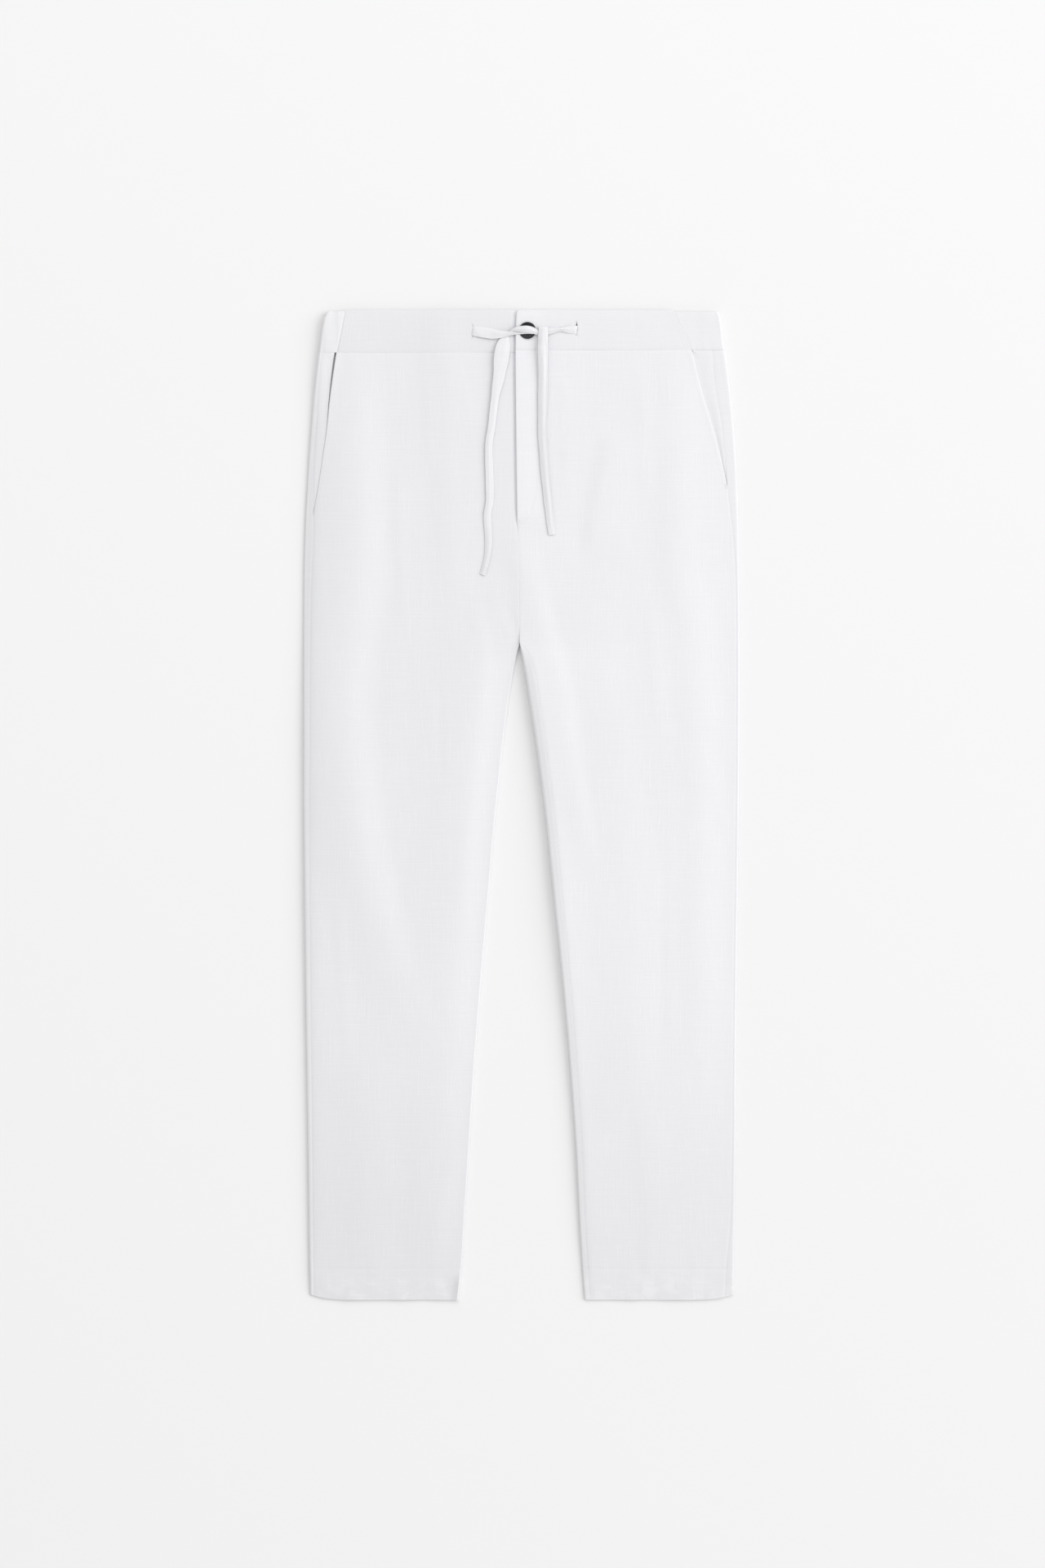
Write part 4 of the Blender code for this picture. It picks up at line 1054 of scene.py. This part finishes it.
def modelled_button(material):
    """A four-hole button: raised round rim, dished middle, holes with thread across them."""
    nothing_selected()
    base = band_face(BUTTON_X, BUTTON_DOWN) + BUTTON_SHANK
    middle = at_table(BUTTON_X, BUTTON_DOWN, base + BUTTON_HEIGHT / 2)
    bpy.ops.mesh.primitive_cylinder_add(vertices=96, radius=BUTTON_RADIUS * MM,
                                        depth=BUTTON_HEIGHT * MM, location=tuple(middle))
    button = bpy.context.object
    button.name = "fly_button"
    bpy.ops.object.transform_apply(location=True, rotation=True, scale=True)
    bpy.ops.object.mode_set(mode="EDIT")
    pick_faces(lambda f: f.normal.z > 0.9)
    for ring, rise in BUTTON_RINGS:
        bpy.ops.mesh.inset(thickness=ring * MM)
        bpy.ops.transform.translate(value=(0, 0, rise * MM))
    pick_faces(lambda f: f.normal.z < -0.9)
    bpy.ops.transform.resize(value=(0.86, 0.86, 1.0), center_override=tuple(middle))
    bpy.ops.mesh.select_all(action="DESELECT")
    bpy.ops.object.mode_set(mode="OBJECT")
    rim = button.modifiers.new("rounded_rim", "BEVEL")
    rim.width = 0.32 * MM
    rim.segments = 3
    rim.limit_method = "ANGLE"
    rim.angle_limit = math.radians(28)
    bpy.ops.object.modifier_apply(modifier=rim.name)
    for dx in (-BUTTON_HOLE_AT, BUTTON_HOLE_AT):
        for dy in (-BUTTON_HOLE_AT, BUTTON_HOLE_AT):
            nothing_selected()
            bpy.ops.mesh.primitive_cylinder_add(
                vertices=24, radius=BUTTON_HOLE_RADIUS * MM, depth=8 * MM,
                location=(middle[0] + dx * MM, middle[1] + dy * MM, middle[2]))
            drill = bpy.context.object
            nothing_selected()
            button.select_set(True)
            bpy.context.view_layer.objects.active = button
            hole = button.modifiers.new("thread_hole", "BOOLEAN")
            hole.object = drill
            hole.operation = "DIFFERENCE"
            hole.solver = "EXACT"
            bpy.ops.object.modifier_apply(modifier=hole.name)
            bpy.data.objects.remove(drill, do_unlink=True)
    bpy.ops.object.shade_smooth_by_angle(angle=math.radians(35))
    button.data.materials.clear()
    button.data.materials.append(material)
    finish(button, "button")
    return middle


def modelled_stitch():
    """One stitch of thread: a small bar that swells in the middle and sinks at both ends."""
    nothing_selected()
    bpy.ops.mesh.primitive_cylinder_add(vertices=6, radius=0.5, depth=1.0,
                                        rotation=(0, math.pi / 2, 0))
    stitch = bpy.context.object
    stitch.name = "stitch_pattern"
    bpy.ops.object.transform_apply(location=True, rotation=True, scale=True)
    bpy.ops.object.mode_set(mode="EDIT")
    for _ in range(2):
        pick_faces(lambda f: abs(f.normal.x) > 0.9)
        bpy.ops.mesh.extrude_region_shrink_fatten(TRANSFORM_OT_shrink_fatten={"value": 0.22})
    shape = bmesh.from_edit_mesh(stitch.data)
    for vert in shape.verts:
        share = min(abs(vert.co.x) / 0.94, 1.0)
        round_off = math.sqrt(max(1 - share ** 4, 0.10))
        vert.co.y *= round_off
        vert.co.z = vert.co.z * round_off - 0.55 * share ** 2
    bmesh.update_edit_mesh(stitch.data)
    bpy.ops.object.mode_set(mode="OBJECT")
    points = np.array([tuple(v.co) for v in stitch.data.vertices])
    points[:, 0] /= np.abs(points[:, 0]).max()
    faces = [tuple(p.vertices) for p in stitch.data.polygons]
    bpy.data.objects.remove(stitch, do_unlink=True)
    return points, faces


def sewing(name, stitches):
    """Copies of the stitch joined into one piece: each is centre, direction, length, width."""
    base, base_faces = stitch_pattern
    points = []
    faces = []
    for centre, way, length, width in stitches:
        way = unit(way)
        beside = unit(np.cross((0.0, 0.0, 1.0), way))
        up = np.cross(way, beside)
        start = len(points) * len(base)
        points.append(np.asarray(centre) + way * base[:, :1] * length / 2
                      + beside * base[:, 1:2] * width + up * base[:, 2:] * width * 0.8)
        faces.extend([tuple(v + start for v in face) for face in base_faces])
    return finish(new_piece(name, np.vstack(points), faces, thread))


def stitch_row(points, height_at, length=2.5, gap=0.7, width=0.42, lift=STITCH_LIFT):
    """Stitches along a line of (x, down) points on a face."""
    points = np.array(points, float)
    far = running_sum(np.linalg.norm(np.diff(points, axis=0), axis=1))
    made = []
    at = length / 2
    while at + length / 2 < far[-1]:
        (x, down), ahead, behind = (
            [np.interp(at + step, far, points[:, c]) for c in (0, 1)]
            for step in (0.0, length / 2, -length / 2))
        start, end = (at_table(*spot, height_at(*spot)) for spot in (behind, ahead))
        centre = at_table(x, down, height_at(x, down) + lift)
        made.append((centre, end - start, length * MM, width * MM))
        at += length + gap
    return made


def bars(lines, **stitch):
    """Close bars of thread on the front, one or more along each line."""
    return [bar for line in lines for bar in stitch_row(line, face_height, **stitch)]


def face_height(x, down):
    """Height of the front under a stitch."""
    side = -1 if x < centre_x(-1, down) else 1
    height = (band_face if down < BAND_DEPTH[side] else front_face)(x, down)
    if BAND_DEPTH[side] <= down < MOUTH_END[side]:
        height += mouth_lift(side, down, x)
    if side > 0:
        height += fly_rise(x - centre_x(1, down), down)
    return height


def hem_rows():
    rows = []
    for side in (-1, 1):
        start, end = sorted((side_x(side, HEM_TOP), inside_x(side, HEM_TOP)))
        xs = np.linspace(start + 3, end - 3, 24)
        wander = 0.5 * soft_noise(xs / 31.0 + 4, side * 3.0)
        for way, height_at in ((1, face_height), (-1, back_face)):
            line = np.column_stack((xs, HEM_TOP + HEM_STITCHES + way * wander))
            rows += stitch_row(line, height_at, lift=way * STITCH_LIFT)
    return rows


def pocket_rows():
    rows = []
    for side, end in MOUTH_END.items():
        downs = np.linspace(BAND_DEPTH[side] + 1.5, end - 1.5, 30)
        rows += stitch_row([(mouth_x(side, down) - side * 4.2, down) for down in downs],
                           face_height)
        middle = mouth_x(side, end) - side * 1.5
        rows += bars([((middle - 2.4, down), (middle + 2.4, down + 0.25))
                      for down in end - 3.0 + BAR_PITCH * np.arange(11)],
                     length=4.2, width=0.36, lift=0.03)
    return rows


def fly_rows():
    j_line = ((46, 15.6), (90, 16.4), (150, 16.8), (186, 16.2), (205, 13.6), (217, 9.0),
              (224.4, 3.4), (227.2, -2.6))
    downs = np.linspace(j_line[0][0], j_line[-1][0], 60)
    rows = stitch_row(np.column_stack((read_off(j_line, downs), downs)), face_height)
    rows += bars((((-3.2, 226.8), (10.4, 226.6)), ((-3.4, 230.4), (10.0, 230.2)),
                  ((1.5, 220.9), (13.6, 220.6))), length=2.2, gap=0.4)
    rows += bars([((-3.4 + 0.02 * k, 222.4 + BAR_PITCH * k), (0.9, 222.7 + BAR_PITCH * k))
                  for k in range(9)], length=4.0, width=0.34, lift=0.03)
    return rows


def band_rows():
    rows = []
    for side in (-1, 1):
        downs = np.linspace(1.5, BAND_DEPTH[side] - 1.5, 12)
        rows += bars([[(slanted(side, down) - side * inward, down) for down in downs]
                      for inward in (1.6, 5.2)])
    return rows


def slit_rows():
    """Close bars of thread round the drawstring's two slits."""
    rows = []
    for slit_x, slit_top, slit_low in SLITS.values():
        count = int((slit_low - slit_top) / SLIT_BAR_PITCH) + 1
        rows += bars([((slit_x + way * 0.95, down), (slit_x + way * 2.55, down))
                      for down in slit_top + 0.15 + SLIT_BAR_PITCH * np.arange(count)
                      for way in (-1, 1)],
                     length=1.45, gap=0.1, lift=0.0)
        rows += bars([((slit_x - 1.9, end + 0.4 * k), (slit_x + 1.9, end + 0.4 * k))
                      for end in (slit_top - 0.5, slit_low + 0.5) for k in (-1, 0, 1)],
                     length=3.5, lift=0.1)
    return rows


def button_thread(middle):
    """Two bars of thread across each pair of the button's holes."""
    top = middle[2] + BUTTON_HEIGHT * MM / 2 - 0.45 * MM
    return [((middle[0], middle[1] + (dy + turn) * MM, top), (1.0, 0.0, 0.0), 4.4 * MM, 0.5 * MM)
            for dy in (-BUTTON_HOLE_AT, BUTTON_HOLE_AT) for turn in (-0.3, 0.3)]


# ---- materials ----

def set_inputs(tree, node, inputs):
    """Gives a node's inputs, by name or place, a value or another node's output."""
    for key, value in inputs.items():
        if isinstance(value, bpy.types.NodeSocket):
            tree.links.new(value, node.inputs[key])
        else:
            node.inputs[key].default_value = value
    return node


def add_node(tree, kind, inputs, **settings):
    """The outputs of a new node."""
    node = tree.nodes.new(kind)
    for key, value in settings.items():
        setattr(node, key, value)
    return set_inputs(tree, node, inputs).outputs


def new_material(name):
    mat = bpy.data.materials.new(name)
    mat.use_nodes = True
    return mat, mat.node_tree


def linen_weave():
    """Linen's threads: a plain weave whose warp and weft have uneven, slubby threads; its colour
    also carries painted shade towards the hems and painted highlights in the hem band.
    """
    thread_pitch = 0.0006
    group = bpy.data.node_groups.new("linen_weave", "ShaderNodeTree")
    for name, way, kind in (("Shade", "INPUT", "Color"), ("Start", "INPUT", "Float"),
                            ("Color", "OUTPUT", "Color"), ("Roughness", "OUTPUT", "Float"),
                            ("Height", "OUTPUT", "Float")):
        group.interface.new_socket(name, in_out=way, socket_type="NodeSocket" + kind)
    given = group.nodes.new("NodeGroupInput").outputs
    place = add_node(group, "ShaderNodeUVMap", {}, uv_map="threads")["UV"]

    def vector(kind, a, b):
        return add_node(group, "ShaderNodeVectorMath", {0: a, 1: b}, operation=kind)[0]

    def maths(kind, *parts):
        inputs = dict(enumerate(parts))
        return add_node(group, "ShaderNodeMath", inputs, operation=kind)["Value"]

    def plus(a, b):
        return maths("ADD", a, b)

    def times(a, b):
        return maths("MULTIPLY", a, b)

    def mixed(total, parts):
        """The total with each part's share of itself added in turn."""
        for part, share in parts:
            total = plus(total, times(part, share))
        return total

    def ramp(source, low, high, kind="LINEAR"):
        inputs = {"Value": source, "From Min": low, "From Max": high}
        return add_node(group, "ShaderNodeMapRange", inputs, interpolation_type=kind,
                        clamp=True)["Result"]

    shifted = vector("ADD", place, given["Start"])

    def streaks(across, down, detail):
        inputs = {"Vector": vector("MULTIPLY", shifted, (across, down, 1.0)), "Scale": 1.0,
                  "Detail": detail, "Roughness": 0.55}
        return add_node(group, "ShaderNodeTexNoise", inputs, noise_dimensions="2D")["Fac"]

    def thread_wave(way, wander):
        bent = plus(way, times(wander, thread_pitch))
        return maths("COSINE", times(bent, math.pi / thread_pitch))

    warp = streaks(760.0, 24.0, 3.0)
    weft = streaks(20.0, 620.0, 3.0)
    thick_warp = ramp(streaks(300.0, 30.0, 1.0), 0.60, 0.74)
    thick_weft = ramp(streaks(24.0, 340.0, 1.0), 0.58, 0.72)
    cloud = streaks(9.0, 7.0, 2.0)
    apart = add_node(group, "ShaderNodeSeparateXYZ", {0: shifted})
    wave_u = thread_wave(apart[0], weft)
    wave_v = thread_wave(apart[1], warp)
    turn = times(times(wave_u, wave_v), 0.4)
    over_under = maths("MAXIMUM", times(times(wave_u, wave_u), plus(turn, 0.6)),
                       times(times(wave_v, wave_v), maths("SUBTRACT", 0.6, turn)))
    fine = plus(warp, weft)
    low_part = add_node(group, "ShaderNodeSeparateXYZ", {0: place})[1]
    # Painted shade: the colour darkens over the lower legs, from 720 mm down to the hems, standing
    # in for shade there.
    painted_shade_lower_legs = ramp(low_part, 0.72, 1.0, "SMOOTHSTEP")
    # Painted highlight: lighter patches in the hem band near the hem's edge, standing in for light
    # on the raised hem.
    hem = ramp(low_part, 1.019, 1.034, "SMOOTHSTEP")
    pressed = times(ramp(streaks(56.0, 84.0, 2.0), 0.48, 0.64), hem)
    tone = mixed(maths("MULTIPLY_ADD", plus(fine, -1.0), 0.032, 0.985), (
        (thick_warp, 0.009), (thick_weft, 0.007), (plus(cloud, -0.5), 0.02),
        (plus(over_under, -0.5), 0.012), (painted_shade_lower_legs, -0.044), (pressed, 0.034)))
    shade = add_node(group, "ShaderNodeVectorMath", {0: given["Shade"], "Scale": tone},
                     operation="SCALE")
    height = mixed(times(over_under, 0.35), ((fine, 0.45), (thick_warp, 0.5), (thick_weft, 0.45)))
    rough = maths("MULTIPLY_ADD", fine, 0.10, 0.78)
    set_inputs(group, group.nodes.new("NodeGroupOutput"),
               {"Color": shade[0], "Roughness": rough, "Height": height})
    return group


def woven_material(name, shade, start, bump):
    mat, tree = new_material(name)
    weave = add_node(tree, "ShaderNodeGroup", {"Shade": (*shade, 1.0), "Start": start},
                     node_tree=linen_threads)
    relief = add_node(tree, "ShaderNodeBump", {
        "Strength": bump, "Distance": 0.00025, "Height": weave["Height"]})
    set_inputs(tree, tree.nodes["Principled BSDF"], {
        "Base Color": weave["Color"], "Roughness": weave["Roughness"],
        "Normal": relief["Normal"], "Sheen Weight": 0.15, "Sheen Roughness": 0.5,
        "Specular IOR Level": 0.25})
    return mat


def noisy_material(name, color, spread, rough, scale, bump, metres):
    """A plain finish with fine uneven tone and grain, in object space."""
    mat, tree = new_material(name)
    place = add_node(tree, "ShaderNodeTexCoord", {})["Object"]
    noise = add_node(tree, "ShaderNodeTexNoise", {
        "Vector": place, "Scale": scale, "Detail": 4.0})["Fac"]
    tone, gloss = (add_node(tree, "ShaderNodeMapRange", {
        "Value": noise, "To Min": middle - reach, "To Max": middle + reach})["Result"]
        for middle, reach in ((1, spread), (rough, 0.05)))
    shade = add_node(tree, "ShaderNodeVectorMath", {0: color, "Scale": tone}, operation="SCALE")
    relief = add_node(tree, "ShaderNodeBump", {
        "Strength": bump, "Distance": metres, "Height": noise})
    set_inputs(tree, tree.nodes["Principled BSDF"], {
        "Base Color": shade[0], "Roughness": gloss, "Normal": relief["Normal"]})
    return mat


# ---- camera, light and floor ----

CAMERA_HEIGHT = 4.6
SENSOR = 36.0
VIEW_HALF = 0.8304         # half of the view's long side at the cloth, in metres


def place_camera():
    data = bpy.data.cameras.new("camera")
    camera = bpy.data.objects.new("camera", data)
    bpy.context.collection.objects.link(camera)
    data.sensor_width = SENSOR
    data.lens = SENSOR / 2 * CAMERA_HEIGHT / VIEW_HALF
    data.clip_end = 50.0
    camera.location = (0.00095, 0.02242, CAMERA_HEIGHT + 0.005)
    bpy.context.scene.camera = camera


def place_light():
    world = bpy.data.worlds.new("studio_air")
    bpy.context.scene.world = world
    world.use_nodes = True
    set_inputs(world.node_tree, world.node_tree.nodes["Background"],
               {"Color": (1.0, 1.0, 1.0, 1.0), "Strength": 0.652})
    for name, place, size, power in (
            ("right_softbox", (11.3, 1.6, 7.5), 11.5, 1061.0),
            ("top_softbox", (0.0, 4.2, 4.4), 4.5, 81.0),
            ("front_fill", (0.0, -7.0, 2.2), 5.0, 36.0)):
        data = bpy.data.lights.new(name, "AREA")
        data.size = size
        data.energy = power
        lamp = bpy.data.objects.new(name, data)
        lamp.location = place
        lamp.rotation_euler = (-lamp.location).to_track_quat("-Z", "Y").to_euler()
        lamp.visible_camera = False
        bpy.context.collection.objects.link(lamp)
    bpy.context.scene.view_settings.view_transform = "Standard"
    bpy.context.scene.view_settings.look = "None"


def lay_floor():
    nothing_selected()
    bpy.ops.mesh.primitive_plane_add(size=12.0, location=(0, 0, -0.0003))
    floor = bpy.context.object
    floor.name = "floor"
    bpy.ops.object.transform_apply(location=True, rotation=True, scale=True)
    floor.data.materials.append(noisy_material(
        "pale_floor", (0.86, 0.86, 0.86), 0.002, 0.85, 3.0, 0.0, 0.0001))


# ---- putting it together ----

place_camera()
place_light()
linen_threads = linen_weave()
tape_linen = woven_material("drawstring_linen", (0.797, 0.797, 0.818), 0.31, 0.32)
tape_piece("right_drawstring", TAPE_FROM_RIGHT, "drawstring_right", 3.1, tape_linen)
tape_piece("left_drawstring", TAPE_FROM_LEFT, "drawstring_left", 8.4, tape_linen)
lay_floor()


# depth scales the linen's colour for one piece: painted shade where it is below 1, painted light
# where it is above 1.
def linen(name, start, depth=1.0):
    shade = tuple(part * depth for part in (0.809, 0.809, 0.832))
    return woven_material(name + "_linen", shade, start, 0.28)


# Painted shade on the right front leg (0.985) and the right front waistband (0.962), painted light
# on the left front leg (1.012).
right_front_leg = finish(right_front(linen("right_front", 0.11, 0.985)), "front_right")
left_front_leg = finish(left_front(linen("left_front", 1.73, 1.012)), "front_left")
right_back_leg = finish(right_back(linen("right_back", 2.37)), "back_right")
left_back_leg = finish(left_back(linen("left_back", 3.19)), "back_left")
right_facing = finish(pocket_facing(-1, linen("right_facing", 4.41)),
                      "pocket_facing_right")
left_facing = finish(pocket_facing(1, linen("left_facing", 5.57)),
                     "pocket_facing_left")
fly_strip = finish(underlap(linen("fly_strip", 6.29)), "fly_underlap")
right_band = finish(front_band(-1, linen("right_band", 7.83, 0.962)),
                    "waistband_front_right")
left_band = finish(front_band(1, linen("left_band", 8.07)), "waistband_front_left")
whole_back_band = finish(back_band(linen("back_band", 9.61)), "waistband_back")
button_middle = modelled_button(noisy_material(
    "charcoal_button", (0.012, 0.012, 0.014), 0.15, 0.36, 900.0, 0.15, 0.00005))

thread = noisy_material("sewing_thread", (0.80, 0.80, 0.82), 0.02, 0.6, 2500.0, 0.2, 0.00005)
stitch_pattern = modelled_stitch()
hem_sewing = sewing("hem_stitching", hem_rows())
pocket_sewing = sewing("pocket_stitching", pocket_rows())
fly_sewing = sewing("fly_stitching", fly_rows())
band_sewing = sewing("waistband_stitching", band_rows())
slit_sewing = sewing("slit_binding", slit_rows())
sewing("button_thread", button_thread(button_middle))
